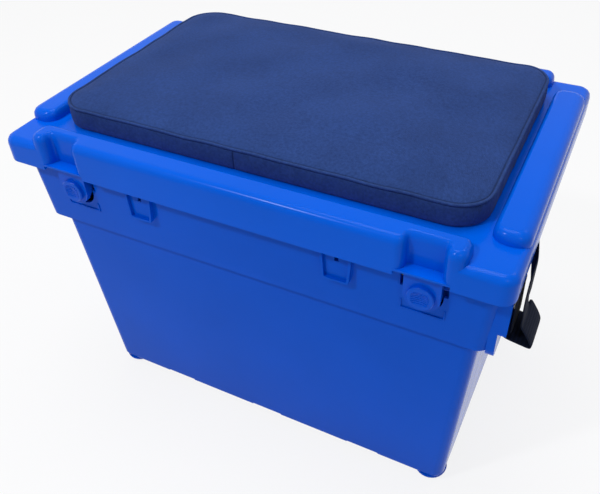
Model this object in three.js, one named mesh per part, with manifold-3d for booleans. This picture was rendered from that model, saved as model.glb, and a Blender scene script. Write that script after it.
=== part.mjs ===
// A fishing seat box: a moulded bucket with a hinged, padded lid, two rocker
// latches, a webbing shoulder strap and a lift-out tray. Millimetres, Z up,
// long side on X, the latches on the -Y side, standing on Z = 0.
import * as THREE from 'three';
import { mergeVertices } from 'three/addons/utils/BufferGeometryUtils.js';
import Module from 'manifold-3d';

const wasm = await Module();
wasm.setup();

// Fits and cuts that every piece shares
const wall = 3;
const clearance = 0.4;
const overrun = 6;
const bite = 0.8;

// Heights: the step in the tub, the band above it, the lid's skirt and rails
const tubBottom = 8;
const stepHeight = 233;
const bandHeight = 72;
const rimRise = 13;
const skirtHeight = 25;
const railHeight = 10.5;
const skirtBottom = stepHeight + bandHeight;
const rimTop = skirtBottom + rimRise;
const bedTop = skirtBottom + skirtHeight;
const railTop = bedTop + railHeight;

// Lid: skirt, flat bed and four raised hollow rails
const lidLength = 480;
const lidDepth = 316;
const lidCorner = 12.5;
const bedEdgeRadius = 8;
const railRise = 8;
const outerRoll = 6.8;
const innerRoll = 5;
const endRoll = 9;
const railCorner = 8.8;
const longRailGap = 37;
const longRailWidth = 25.5;
const endRailInset = 1.5;
const endRailWidth = 29.5;
const endRailGap = 37;
const endRailCorner = 12;
const ribThickness = 2;
const longRibPitch = 65;
const longRibEndGap = 30;
const endRibPitch = 80;

// Notch over each latch
const latchEndGap = 68.8;
const latchOffset = lidLength / 2 - latchEndGap;
const notchHalf = 14.9;
const notchDepth = 11.2;
const notchHornRadius = 7.4;
const notchBackRadius = 2.5;
const notchShelfRise = 5.8;
const notchShelfTop = skirtBottom + notchShelfRise;
const notchShelf = 2;

// Tub: tapered bucket under a wider band, with a ledge inside the step
const skirtGapLength = 9.8;
const skirtGapDepth = 12.6;
const bandFlareLength = 8;
const bandFlareDepth = 7.2;
const stepInset = 8.5;
const taperLength = 25.4;
const taperDepth = 18.2;
const bandTopLength = lidLength - skirtGapLength * 2;
const bandTopDepth = lidDepth - skirtGapDepth * 2;
const bandLength = bandTopLength - bandFlareLength;
const bandDepth = bandTopDepth - bandFlareDepth;
const tubStepLength = bandLength - stepInset * 2;
const tubStepDepth = bandDepth - stepInset * 2;
const tubFootLength = tubStepLength - taperLength;
const tubFootDepth = tubStepDepth - taperDepth;
const tubCorner = 11;
const tubFloorRadius = 5;
const bandEdgeRadius = 2;
const channelWidth = 43;
const channelRise = 2.6;
const channelSlope = 3;
const channelGapLeft = 73;
const channelGapRight = 72;
const channelGapDepth = 43.5;

// U-shaped frames moulded on the front of the band
const frameOffset = 97.8;
const frameTopHalf = 14.7;
const frameBottomHalf = 12.3;
const frameDrop = 35;
const frameBottom = skirtBottom - frameDrop;
const frameTopGap = 1.6;
const frameTop = skirtBottom - frameTopGap;
const frameProudLow = 6;
const frameProudHigh = 2.5;
const frameBar = 2.2;
const frameCorner = 4;
const frameRecess = 3;
const frameSlotHalf = 1.8;
const frameSlotRise = 19.5;
const frameSlotHeight = 9.5;
const frameSlotBottom = frameBottom + frameSlotRise;
const frameSlotTop = frameSlotBottom + frameSlotHeight;

// Rocker latch: window in the band, lever, pin and spring
const pivotDrop = 15;
const pivotHeight = skirtBottom - pivotDrop;
const windowHalf = 19.5;
const windowDrop = 6;
const windowSill = pivotHeight - windowDrop;
const rimCutHalf = 26;
const rimCutRise = 1;
const rimCutBottom = skirtBottom + rimCutRise;
const leverHoleRadius = 16;
const leverHoleDrop = 9;
const leverHoleHeight = pivotHeight - leverHoleDrop;
const outlineHalf = 18.6;
const outlineDrop = 21;
const outlineHeight = 9.5;
const outlineTop = pivotHeight - outlineDrop;
const outlineBottom = outlineTop - outlineHeight;
const outlineWidth = 1;
const outlineProud = 0.6;
const pivotInset = 6.6;
const pinRadius = 1.5;
const hubRadius = 3.2;
const cheekThickness = 2.6;
const cheekDrop = 24;
const cheekRise = 7;
const cheekBottom = pivotHeight - cheekDrop;
const cheekTop = pivotHeight + cheekRise;
const cheekDepth = 15;
const seatThickness = 2.4;
const springDrop = 15;
const springHeight = pivotHeight - springDrop;
const springRadius = 3.4;
const springWire = 0.45;
const springTurns = 5;
const springSteps = 8;
const springSides = 5;
const plateHalf = 15.2;
const plateProud = 6.3;
const plateThickness = 2.8;
const plateRise = 16.8;
const plateTop = pivotHeight + plateRise;
const flangeInset = 0.6;
const flangeThickness = 2;
const flangeDrop = 13;
const flangeRise = 10;
const flangeBottom = pivotHeight - flangeDrop;
const flangeTop = pivotHeight + flangeRise;
const bossRadius = 4;
const buttonRadius = 11.3;
const buttonDrop = 5.5;
const buttonHeight = pivotHeight - buttonDrop;
const buttonProud = 3.8;
const buttonRim = 3.4;
const buttonDish = 1.6;
const dishSteps = 3;
const gripRidge = 0.9;
const gripHeight = 0.45;
const gripRidges = 7;
const gripPitch = 1.8;
const hookHalf = 10;
const hookReach = 2.5;
const hookThickness = 3;
const hookDrop = 1;
const catchOverlap = 1.4;
const catchStem = 2.5;
const catchBarbHeight = 4.5;
const catchBarbFace = 1.2;

// Lug and pad for the strap, on the right end in front and the left end behind
const lugInset = 38;
const lugCentre = lidDepth / 2 - lugInset;
const padProud = 0.8;
const padOuter = bandTopLength / 2 + padProud;
const lugSlot = 3.5;
const lugPlateInner = padOuter + lugSlot;
const lugPlate = 3;
const lugDrop = 12.5;
const lugHeight = 34.1;
const lugTop = skirtBottom - lugDrop;
const lugBottom = lugTop - lugHeight;
const lugSide = 2.3;
const padDrop = 6;
const padHeight = 73;
const padTop = skirtBottom - padDrop;
const padBottom = padTop - padHeight;
const padHalf = 19.6;
const padCorner = 14;

// Shoulder strap of flat webbing
const strapWidth = 35;
const strapThickness = 1.8;
const strapTurnRadius = 20;
const strapTurnSteps = 5;

// Three-bar slide on the strap
const slideCentre = 40;
const slidePitch = 12;
const slideBar = 1.5;
const slideCheek = 3;

// Rear hinge
const hingeOffset = 120;
const hingeInset = 6.3;
const hingeLine = lidDepth / 2 - hingeInset;
const hingeDrop = 9;
const hingeHeight = skirtBottom - hingeDrop;
const knuckleRadius = 6;
const tubKnuckleHalf = 9.8;
const lidKnuckleWidth = 9;
const hingePinRadius = 2.5;
const hingePinHead = 4;
const hingePinHeadThickness = 1.4;
const hingeStop = THREE.MathUtils.degToRad(105);
const hingeHeelLength = 4.4;
const gussetHeight = 22;
const gussetBottom = hingeHeight - gussetHeight;

// Run of the strap behind the box, under the hinges
const strapBehindBand = 8;
const strapBelowHinge = 22.5;
const strapBackLine = lidDepth / 2 - strapBehindBand;
const strapBackHeight = hingeHeight - knuckleRadius - strapWidth / 2 - strapBelowHinge;

// Feet and the screws that hold them
const footInsetLength = 16;
const footInsetDepth = 16.7;
const footX = tubFootLength / 2 - footInsetLength;
const footY = tubFootDepth / 2 - footInsetDepth;
const footRadius = 17;
const footSpigot = 4.5;
const footFlat = 6;
const screwShank = 1.8;
const screwHead = 4;
const screwHeadHeight = 2.2;
const screwTip = 3;
const driveWidth = 1.2;
const driveLength = 4.4;
const driveDepth = 1.1;

// Lift-out tray on the ledge, with dividers that slot together
const trayBodyLength = 200;
const trayGap = 1.3;
const trayBodyWidth = tubStepDepth - (wall + trayGap) * 2;
const trayDepth = 54.4;
const trayDraft = 2.2;
const trayCorner = 7;
const trayWall = 2;
const trayFlange = 2.5;
const trayEndOverhang = 12.7;
const dividerThickness = 2;
const dividerDrop = 1;
const guideWidth = 1.4;
const guideDepth = 2;
const guideDrop = 8;

// Seat cushion
const cushionEndBed = 6;
const cushionFrontBed = 14.5;
const cushionCorner = 30;
const cushionBorder = 20.5;
const cushionCrown = 6.5;
const cushionSeam = bedTop + cushionBorder;
const cushionTop = cushionSeam + cushionCrown;
const cushionPinch = 1;
const cushionBead = 1.3;
const cushionBeadHeight = 1.6;
const cushionBack = lidDepth / 2 - longRailWidth - clearance / 2;
const cushionFront = -lidDepth / 2 + longRailWidth + cushionFrontBed;
const endRailInner = lidLength / 2 - endRailInset - endRailWidth;
const cushionLength = (endRailInner - cushionEndBed) * 2;

// Colours from the photograph
const blue = 0x1a4fd0;
const navy = 0x161d3a;
const black = 0x0b0e1c;
const steel = 0xa9adb3;

// Solids are built as closed triangle meshes, then joined and cut
function solid(geometry) {
  let clean = geometry.index ? geometry : geometry.clone();
  clean.deleteAttribute('normal');
  clean.deleteAttribute('uv');
  clean = mergeVertices(clean);
  const mesh = new wasm.Mesh({
    numProp: 3,
    vertProperties: new Float32Array(clean.attributes.position.array),
    triVerts: new Uint32Array(clean.index.array),
  });
  return new wasm.Manifold(mesh);
}

function join(...solids) {
  return solids.reduce((sum, next) => sum.add(next));
}

function cut(base, ...tools) {
  return tools.reduce((rest, tool) => rest.subtract(tool), base);
}

function part(name, shape, color, roughness, metalness = 0) {
  const mesh = shape.getMesh();
  const geometry = new THREE.BufferGeometry();
  geometry.setAttribute('position', new THREE.BufferAttribute(mesh.vertProperties, 3));
  geometry.setIndex(new THREE.BufferAttribute(mesh.triVerts, 1));
  geometry.computeVertexNormals();
  const material = new THREE.MeshStandardMaterial({ color, roughness, metalness });
  const node = new THREE.Mesh(geometry, material);
  node.name = name;
  return node;
}

function box(x0, x1, y0, y1, z0, z1) {
  const geometry = new THREE.BoxGeometry(x1 - x0, y1 - y0, z1 - z0);
  geometry.translate((x0 + x1) / 2, (y0 + y1) / 2, (z0 + z1) / 2);
  return solid(geometry);
}

// A rounded rectangle at one height, counter-clockwise seen from above
function ring({ x = 0, y = 0, z, halfX, halfY, corner, steps = 4 }) {
  const points = [];
  const centres = [[1, 1], [-1, 1], [-1, -1], [1, -1]];
  centres.forEach(([signX, signY], quarter) => {
    for (let step = 0; step <= steps; step += 1) {
      const angle = (quarter + step / steps) * Math.PI / 2;
      points.push(new THREE.Vector3(
        x + signX * (halfX - corner) + corner * Math.cos(angle),
        y + signY * (halfY - corner) + corner * Math.sin(angle),
        z,
      ));
    }
  });
  return points;
}

// Triangles over a flat ring, wound the same way as the ring
function capTriangles(points) {
  const flat = points.map(({ x, y }) => new THREE.Vector2(x, y));
  return THREE.ShapeUtils.triangulateShape(flat, []).map(([a, b, c]) => {
    const turn = flat[b].clone().sub(flat[a]).cross(flat[c].clone().sub(flat[a]));
    return turn > 0 ? [a, b, c] : [a, c, b];
  });
}

// Skins a stack of rings from the lowest to the highest and caps both ends
function loft(rings) {
  const count = rings[0].length;
  const positions = rings.flat().flatMap((point) => point.toArray());
  const index = [];
  for (let level = 0; level + 1 < rings.length; level += 1) {
    for (let side = 0; side < count; side += 1) {
      const a = level * count + side;
      const b = level * count + (side + 1) % count;
      index.push(a, b, b + count, a, b + count, a + count);
    }
  }
  const top = (rings.length - 1) * count;
  capTriangles(rings[0]).forEach(([a, b, c]) => index.push(a, c, b));
  capTriangles(rings[rings.length - 1]).forEach(([a, b, c]) => index.push(top + a, top + b, top + c));
  const geometry = new THREE.BufferGeometry();
  geometry.setAttribute('position', new THREE.Float32BufferAttribute(positions, 3));
  geometry.setIndex(index);
  return solid(geometry);
}

// Rings of a quarter-round edge that turns in from the side to a flat top
function roundedTop(base, top, radius, steps = 3) {
  const rings = [];
  for (let step = 0; step <= steps; step += 1) {
    const angle = step / steps * Math.PI / 2;
    const inset = radius * (1 - Math.cos(angle));
    rings.push(ring({
      ...base,
      z: top - radius + radius * Math.sin(angle),
      halfX: base.halfX - inset,
      halfY: base.halfY - inset,
      corner: Math.max(base.corner - inset, bite),
    }));
  }
  return rings;
}

// A block with rounded upright corners and a rounded top edge
function raisedBlock({ x0, x1, y0, y1, z0, z1, corner, edge, steps = 3 }) {
  const base = {
    x: (x0 + x1) / 2,
    y: (y0 + y1) / 2,
    halfX: (x1 - x0) / 2,
    halfY: (y1 - y0) / 2,
    corner,
    steps,
  };
  return loft([ring({ ...base, z: z0 }), ...roundedTop(base, z1, edge, steps)]);
}

// An outline in Y and Z, run along X
function runX(outline, x0, x1) {
  const shape = new THREE.Shape(outline.map(([y, z]) => new THREE.Vector2(y, z)));
  const geometry = new THREE.ExtrudeGeometry(shape, { depth: x1 - x0, bevelEnabled: false });
  geometry.applyMatrix4(new THREE.Matrix4().set(0, 0, 1, x0, 1, 0, 0, 0, 0, 1, 0, 0, 0, 0, 0, 1));
  return solid(geometry);
}

// A shape drawn in X and Z, run along Y
function runY(shape, y0, y1, curveSegments = 6) {
  const geometry = new THREE.ExtrudeGeometry(shape, {
    depth: y1 - y0,
    bevelEnabled: false,
    curveSegments,
  });
  geometry.applyMatrix4(new THREE.Matrix4().set(1, 0, 0, 0, 0, 0, -1, y1, 0, 1, 0, 0, 0, 0, 0, 1));
  return solid(geometry);
}

// A plan outline in X and Y, run up Z
function runZ(outline, z0, z1) {
  const shape = new THREE.Shape(outline.map(([x, y]) => new THREE.Vector2(x, y)));
  const geometry = new THREE.ExtrudeGeometry(shape, { depth: z1 - z0, bevelEnabled: false });
  geometry.translate(0, 0, z0);
  return solid(geometry);
}

// A turned profile of [radius, distance] about an axis through a point
function turned(profile, axis, origin, segments = 24) {
  const points = profile.map(([radius, along]) => new THREE.Vector2(radius, along));
  const geometry = new THREE.LatheGeometry(points, segments);
  const turn = new THREE.Quaternion().setFromUnitVectors(new THREE.Vector3(0, 1, 0), axis);
  geometry.applyQuaternion(turn);
  geometry.translate(...origin);
  return solid(geometry);
}

const alongX = new THREE.Vector3(1, 0, 0);
const alongY = new THREE.Vector3(0, 1, 0);
const alongZ = new THREE.Vector3(0, 0, 1);

function rod(radius, from, to, axis, origin, segments = 24) {
  return turned([[0, from], [radius, from], [radius, to], [0, to]], axis, origin, segments);
}

// Half sizes of the tub's outside at any height
function lowerHalf(z, foot, step) {
  return (foot + (step - foot) * (z - tubBottom) / (stepHeight - tubBottom)) / 2;
}

function bandHalf(z, low, high) {
  return (low + (high - low) * (z - stepHeight) / (skirtBottom - stepHeight)) / 2;
}

const bandHalfDepth = (z) => bandHalf(z, bandDepth, bandTopDepth);
const bandHalfLength = (z) => bandHalf(z, bandLength, bandTopLength);

function tubRing(z, inset) {
  return ring({
    z,
    halfX: lowerHalf(z, tubFootLength, tubStepLength) - inset,
    halfY: lowerHalf(z, tubFootDepth, tubStepDepth) - inset,
    corner: tubCorner - Math.min(inset, wall),
  });
}

function bandRing(z, inset) {
  return ring({
    z,
    halfX: bandHalfLength(z) - inset,
    halfY: bandHalfDepth(z) - inset,
    corner: tubCorner - Math.min(inset, wall),
  });
}

// The floor edge rounds out from a flat bottom to the sloping wall
function floorRings(bottom, inset, steps = 3) {
  const rings = [];
  for (let step = 0; step < steps; step += 1) {
    const angle = step / steps * Math.PI / 2;
    const height = bottom + tubFloorRadius * (1 - Math.cos(angle));
    rings.push(tubRing(height, inset + tubFloorRadius * (1 - Math.sin(angle))));
  }
  rings.push(tubRing(bottom + tubFloorRadius, inset));
  return rings;
}

// One stacking channel across the underside, as a bar with sloping sides
function channelBar(centre, along, bottom, top, grow) {
  const low = channelWidth / 2 + grow;
  const high = low - channelSlope;
  const outline = [
    [centre - low, bottom], [centre + low, bottom], [centre + high, top], [centre - high, top],
  ];
  if (along === 'x') {
    return runX(outline, -tubStepLength / 2, tubStepLength / 2);
  }
  const shape = new THREE.Shape(outline.map(([x, z]) => new THREE.Vector2(x, z)));
  return runY(shape, -tubStepDepth / 2, tubStepDepth / 2);
}

function channels(bottom, top, grow) {
  const acrossPlaces = [-footX + channelGapLeft, 0, footX - channelGapRight];
  const alongPlaces = [-footY + channelGapDepth, 0, footY - channelGapDepth];
  const across = acrossPlaces.map((x) => channelBar(x, 'y', bottom, top, grow));
  const along = alongPlaces.map((y) => channelBar(y, 'x', bottom, top, grow));
  return join(...across, ...along);
}

function tubShell() {
  const outside = loft([
    ...floorRings(tubBottom, 0),
    tubRing(stepHeight, 0),
    bandRing(stepHeight, bandEdgeRadius),
    bandRing(stepHeight + bandEdgeRadius, 0),
    bandRing(rimTop, 0),
  ]);
  const inside = loft([
    ...floorRings(tubBottom + wall, wall),
    tubRing(stepHeight + wall, wall),
    bandRing(stepHeight + wall, wall),
    bandRing(rimTop + overrun, wall),
  ]);
  const undercut = channels(tubBottom - overrun, tubBottom + channelRise, 0);
  const humps = channels(tubBottom, tubBottom + channelRise + wall, wall);
  return cut(outside, undercut, cut(inside, humps));
}

// Raised U-shaped frame, open at the top, leaning back as it rises
function bandFrame(centre) {
  const lowFront = -bandHalfDepth(frameBottom) - frameProudLow;
  const highFront = -bandHalfDepth(frameTop) - frameProudHigh;
  const outline = (inset, top) => {
    const topHalf = frameTopHalf - inset;
    const lowHalf = frameBottomHalf - inset;
    const low = frameBottom + inset;
    const corner = frameCorner - Math.min(inset, frameCorner / 2);
    const shape = new THREE.Shape();
    shape.moveTo(centre - topHalf, top);
    shape.lineTo(centre - lowHalf, low + corner);
    shape.quadraticCurveTo(centre - lowHalf, low, centre - lowHalf + corner, low);
    shape.lineTo(centre + lowHalf - corner, low);
    shape.quadraticCurveTo(centre + lowHalf, low, centre + lowHalf, low + corner);
    shape.lineTo(centre + topHalf, top);
    shape.closePath();
    return shape;
  };
  const leaning = (from, to) => runX([
    [lowFront + from, frameBottom - overrun], [lowFront + to, frameBottom - overrun],
    [highFront + to, frameTop + overrun * 2], [highFront + from, frameTop + overrun * 2],
  ], centre - frameTopHalf - overrun, centre + frameTopHalf + overrun);
  const embed = -bandHalfDepth(frameBottom) + wall / 2;
  const front = lowFront - overrun;
  const body = runY(outline(0, frameTop), front, embed, 3).intersect(leaning(0, overrun * 3));
  const recess = runY(outline(frameBar, frameTop + overrun), front, embed, 3)
    .intersect(leaning(-overrun * 2, frameRecess));
  return cut(body, recess);
}

// Window for a latch: round hole below, wider slot for the pivot, open rim
function latchWindow(centre) {
  const front = -bandHalfDepth(rimTop) - overrun;
  const back = -bandHalfDepth(leverHoleHeight - leverHoleRadius) + wall + bite;
  const hole = new THREE.Shape();
  hole.moveTo(centre - leverHoleRadius, windowSill + bite);
  hole.lineTo(centre - leverHoleRadius, leverHoleHeight);
  hole.absarc(centre, leverHoleHeight, leverHoleRadius, Math.PI, Math.PI * 2, false);
  hole.lineTo(centre + leverHoleRadius, windowSill + bite);
  hole.closePath();
  return join(
    runY(hole, front, back, 8),
    box(centre - windowHalf, centre + windowHalf, front, back, windowSill, rimTop + overrun),
    box(centre - rimCutHalf, centre + rimCutHalf, front, back, rimCutBottom, rimTop + overrun),
  );
}

// Where the latch lever turns, and the face that its spring presses against
const pivotLine = -bandHalfDepth(pivotHeight) + pivotInset;
const cheekFront = -bandHalfDepth(cheekBottom) + wall / 2;
const cheekBack = cheekFront + cheekDepth;
const leverHalf = windowHalf - clearance * 2;
const bossEnd = -bandHalfDepth(springHeight) + wall;

// Cheeks that carry the pin, and the bridge between them for the spring
function latchCradle(centre) {
  const inner = windowHalf + clearance;
  const outer = inner + cheekThickness;
  const cheeks = [-1, 1].map((side) => {
    const x = [centre + side * inner, centre + side * outer].sort((a, b) => a - b);
    return box(x[0], x[1], cheekFront, cheekBack, cheekBottom, cheekTop);
  });
  const seat = box(
    centre - outer, centre + outer,
    cheekBack - seatThickness, cheekBack,
    cheekBottom, cheekTop,
  );
  const bore = rod(
    pinRadius + clearance / 2, -outer - overrun, outer + overrun,
    alongX, [centre, pivotLine, pivotHeight], 16,
  );
  return { add: join(...cheeks, seat), bore };
}

// Fine raised outline on the band under the lever
function latchOutline(centre) {
  const front = -bandHalfDepth(outlineTop) - outlineProud;
  const back = -bandHalfDepth(outlineBottom) + wall / 2;
  const outer = box(centre - outlineHalf, centre + outlineHalf, front, back, outlineBottom, outlineTop);
  const inner = box(
    centre - outlineHalf + outlineWidth, centre + outlineHalf - outlineWidth,
    front - overrun, back + overrun,
    outlineBottom + outlineWidth, outlineTop + overrun,
  );
  return cut(outer, inner);
}

// Pad on the end wall with a slotted plate outside it for the strap
function strapLug(signX, signY) {
  const x = (from, to) => [signX * from, signX * to].sort((a, b) => a - b);
  const y = (from, to) => [signY * from, signY * to].sort((a, b) => a - b);
  const root = bandHalfLength(stepHeight) - wall + bite;
  const plateOuter = lugPlateInner + lugPlate;
  const half = strapWidth / 2 + clearance;
  const pad = new THREE.Shape();
  const low = padBottom;
  const [near, far] = y(lugCentre - padHalf, lugCentre + padHalf);
  pad.moveTo(near, padTop);
  pad.lineTo(near, low + padCorner);
  pad.quadraticCurveTo(near, low, near + padCorner, low);
  pad.lineTo(far - padCorner, low);
  pad.quadraticCurveTo(far, low, far, low + padCorner);
  pad.lineTo(far, padTop);
  pad.closePath();
  const outline = pad.getPoints(4).map((point) => [point.x, point.y]);
  const [padFrom, padTo] = x(root, padOuter);
  const [plateFrom, plateTo] = x(lugPlateInner, plateOuter);
  const plateY = y(lugCentre - half - lugSide, lugCentre + half + lugSide);
  const plate = box(plateFrom, plateTo, plateY[0], plateY[1], lugBottom, lugTop);
  const sides = [-1, 1].map((side) => {
    const [from, to] = x(padOuter - bite, plateOuter);
    const edge = y(lugCentre + side * half, lugCentre + side * (half + lugSide));
    return box(from, to, edge[0], edge[1], lugBottom, lugTop);
  });
  return join(runX(outline, padFrom, padTo), plate, ...sides);
}

// A knuckle about the hinge line
function knuckle(x0, x1) {
  return rod(knuckleRadius, x0, x1, alongX, [0, hingeLine, hingeHeight]);
}

function hingeBore(centre) {
  const reach = tubKnuckleHalf + lidKnuckleWidth + overrun;
  return rod(
    hingePinRadius + clearance / 2, centre - reach, centre + reach,
    alongX, [0, hingeLine, hingeHeight],
  );
}

function tubHinge(centre) {
  const root = bandHalfDepth(gussetBottom) - wall / 2;
  const web = [
    [root, gussetBottom], [bandHalfDepth(gussetBottom) + bite, gussetBottom],
    [hingeLine, hingeHeight - knuckleRadius], [hingeLine, hingeHeight + knuckleRadius],
    [root, hingeHeight + knuckleRadius],
  ];
  return join(
    knuckle(centre - tubKnuckleHalf, centre + tubKnuckleHalf),
    runX(web, centre - tubKnuckleHalf, centre + tubKnuckleHalf),
  );
}

function footPlaces() {
  const names = ['front_left', 'front_right', 'rear_left', 'rear_right'];
  return names.map((name) => ({
    name,
    x: name.endsWith('left') ? -footX : footX,
    y: name.startsWith('front') ? -footY : footY,
  }));
}

function makeTub() {
  const cradles = [-latchOffset, latchOffset].map(latchCradle);
  const windows = [-latchOffset, latchOffset].map(latchWindow);
  const hinges = [-hingeOffset, hingeOffset];
  const floorHoles = footPlaces().map(({ x, y }) => (
    rod(footSpigot + clearance, tubBottom - overrun, tubBottom + wall - bite, alongZ, [x, y, 0], 20)
  ));
  const screwHoles = footPlaces().map(({ x, y }) => (
    rod(screwShank + clearance, tubBottom - overrun, tubBottom + wall + overrun, alongZ, [x, y, 0], 12)
  ));
  const walls = join(
    tubShell(),
    ...[-frameOffset, frameOffset].map(bandFrame),
    strapLug(1, -1),
    strapLug(-1, 1),
    ...[-latchOffset, latchOffset].map(latchOutline),
  );
  const frameSlots = [-frameOffset, frameOffset].map((x) => box(
    x - frameSlotHalf, x + frameSlotHalf,
    -bandHalfDepth(frameTop) - frameProudLow, -bandHalfDepth(frameTop) + wall + overrun,
    frameSlotBottom, frameSlotTop,
  ));
  const opened = cut(walls, ...windows, ...floorHoles, ...screwHoles, ...frameSlots);
  const whole = join(opened, ...cradles.map(({ add }) => add), ...hinges.map(tubHinge));
  return cut(whole, ...cradles.map(({ bore }) => bore), ...hinges.map(hingeBore));
}

// Plan outline with square turns, counter-clockwise. Each side rolls in by its
// own amount; an outer corner tightens and an inner one opens about its centre.
function rolledPlan(corners, z, share, steps = 4) {
  const points = [];
  const inward = (from, to) => {
    const along = new THREE.Vector2(to.x - from.x, to.y - from.y).normalize();
    return new THREE.Vector2(-along.y, along.x);
  };
  corners.forEach((corner, place) => {
    const before = corners[(place + corners.length - 1) % corners.length];
    const after = corners[(place + 1) % corners.length];
    const first = inward(before, corner);
    const second = inward(corner, after);
    const sign = first.cross(second) > 0 ? 1 : -1;
    const [a, b] = [before.roll, corner.roll].map((roll) => corner.radius - sign * roll * share);
    for (let step = 0; step <= steps; step += 1) {
      const angle = step / steps * Math.PI / 2;
      const alongFirst = corner.radius - a * Math.cos(angle);
      const alongSecond = corner.radius - b * Math.sin(angle);
      points.push(new THREE.Vector3(
        corner.x + sign * (first.x * alongFirst + second.x * alongSecond),
        corner.y + sign * (first.y * alongFirst + second.y * alongSecond),
        z,
      ));
    }
  });
  return points;
}

// The four rails: their sides, corner radius and the roll of each top edge
function railSides() {
  const long = { x0: -lidLength / 2 + longRailGap, x1: lidLength / 2 - longRailGap, radius: railCorner };
  const end = { y0: -lidDepth / 2 + endRailGap, y1: lidDepth / 2 - endRailGap, radius: endRailCorner };
  const inner = lidDepth / 2 - longRailWidth;
  const outer = lidLength / 2 - endRailInset;
  return [
    { ...long, y0: -lidDepth / 2, y1: -inner, rolls: [outerRoll, outerRoll, innerRoll, outerRoll] },
    { ...long, y0: inner, y1: lidDepth / 2, rolls: [innerRoll, outerRoll, outerRoll, outerRoll] },
    { ...end, x0: endRailInner, x1: outer, rolls: [railRise, endRoll, railRise, innerRoll] },
    { ...end, x0: -outer, x1: -endRailInner, rolls: [railRise, innerRoll, railRise, endRoll] },
  ];
}

// Corners of a latch notch as the front edge of the lid meets them
function notchCorners(centre) {
  const front = -lidDepth / 2;
  const back = front + notchDepth;
  const horn = { y: front, radius: notchHornRadius };
  const rear = { y: back, radius: notchBackRadius, roll: innerRoll };
  return [
    { ...horn, x: centre - notchHalf, roll: innerRoll },
    { ...rear, x: centre - notchHalf },
    { ...rear, x: centre + notchHalf },
    { ...horn, x: centre + notchHalf, roll: outerRoll },
  ];
}

const railLow = bedTop - bedEdgeRadius - bite;

function rail({ x0, x1, y0, y1, radius, rolls }, notches) {
  const places = [[x0, y0], [x1, y0], [x1, y1], [x0, y1]];
  const corners = places.map(([x, y], side) => ({ x, y, radius, roll: rolls[side] }));
  corners.splice(1, 0, ...notches);
  const levels = [rolledPlan(corners, railLow, 0)];
  const steps = 4;
  for (let step = 0; step <= steps; step += 1) {
    const angle = step / steps * Math.PI / 2;
    const z = railTop - railRise * (1 - Math.sin(angle));
    levels.push(rolledPlan(corners, z, 1 - Math.cos(angle)));
  }
  return loft(levels);
}

function lidOutside() {
  const base = { halfX: lidLength / 2, halfY: lidDepth / 2, corner: lidCorner, steps: 5 };
  const slab = loft([
    ring({ ...base, z: skirtBottom }),
    ...roundedTop(base, bedTop, bedEdgeRadius, 4),
  ]);
  const notches = [-latchOffset, latchOffset].flatMap(notchCorners);
  const rails = railSides().map((sides, place) => rail(sides, place === 0 ? notches : []));
  return join(slab, ...rails);
}

function lidHollow() {
  const base = {
    halfX: lidLength / 2 - wall,
    halfY: lidDepth / 2 - wall,
    corner: lidCorner - wall,
    steps: 5,
  };
  const slab = loft([
    ring({ ...base, z: skirtBottom - overrun }),
    ...roundedTop(base, bedTop - wall, bedEdgeRadius - wall),
  ]);
  const rails = railSides().map(({ x0, x1, y0, y1, radius }) => raisedBlock({
    x0: x0 + wall,
    x1: x1 - wall,
    y0: y0 + wall,
    y1: y1 - wall,
    z0: railLow,
    z1: railTop - wall,
    corner: radius - wall,
    edge: railRise - wall + bite,
  }));
  return join(slab, ...rails);
}

// Cross ribs in the hollow rails; their undersides bear on the tub's rim
function lidRibs() {
  const low = rimTop + clearance;
  const skirtY = lidDepth / 2 - wall / 2;
  const skirtX = lidLength / 2 - wall / 2;
  const innerY = lidDepth / 2 - longRailWidth + wall / 2;
  const half = ribThickness / 2;
  const endX = lidLength / 2 - longRibEndGap;
  const longPlaces = [-endX, -longRibPitch * 2, -longRibPitch, 0, longRibPitch, longRibPitch * 2, endX];
  const long = longPlaces.flatMap((x) => [
    box(x - half, x + half, -skirtY, -innerY, low, bedTop),
    box(x - half, x + half, innerY, skirtY, low, bedTop),
  ]);
  const ends = [-endRibPitch, 0, endRibPitch].flatMap((y) => [
    box(endRailInner, skirtX, y - half, y + half, low, bedTop),
    box(-skirtX, -endRailInner, y - half, y + half, low, bedTop),
  ]);
  return [...long, ...ends];
}

// Plan of a latch notch, with sides that roll out to the front face. A grown
// plan lies that far behind the notch's own surface.
function notchPlan(centre, grow, front) {
  const steps = 4;
  const face = -lidDepth / 2;
  const half = [[centre - notchHalf - notchHornRadius, front]];
  const arc = (x, y, radius, from, turn) => {
    for (let step = 0; step <= steps; step += 1) {
      const angle = from + turn * step / steps;
      half.push([x + radius * Math.cos(angle), y + radius * Math.sin(angle)]);
    }
  };
  const right = Math.PI / 2;
  arc(
    centre - notchHalf - notchHornRadius, face + notchHornRadius,
    notchHornRadius - grow, -right, right,
  );
  arc(
    centre - notchHalf + notchBackRadius, face + notchDepth - notchBackRadius,
    notchBackRadius + grow, Math.PI, -right,
  );
  const mirrored = half.map(([x, y]) => [centre * 2 - x, y]).reverse();
  return [...half, ...mirrored];
}

// Faces of the lever's plate, and the hook and catch that meet behind it
const plateFront = -bandHalfDepth(pivotHeight) - plateProud;
const plateBack = plateFront + plateThickness;
const hookTip = plateBack + hookReach;
const catchTip = hookTip - catchOverlap;
const catchFace = hookTip + clearance * 2;
const hookBottom = plateTop - hookThickness;
const catchTop = hookBottom - hookDrop;

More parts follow.
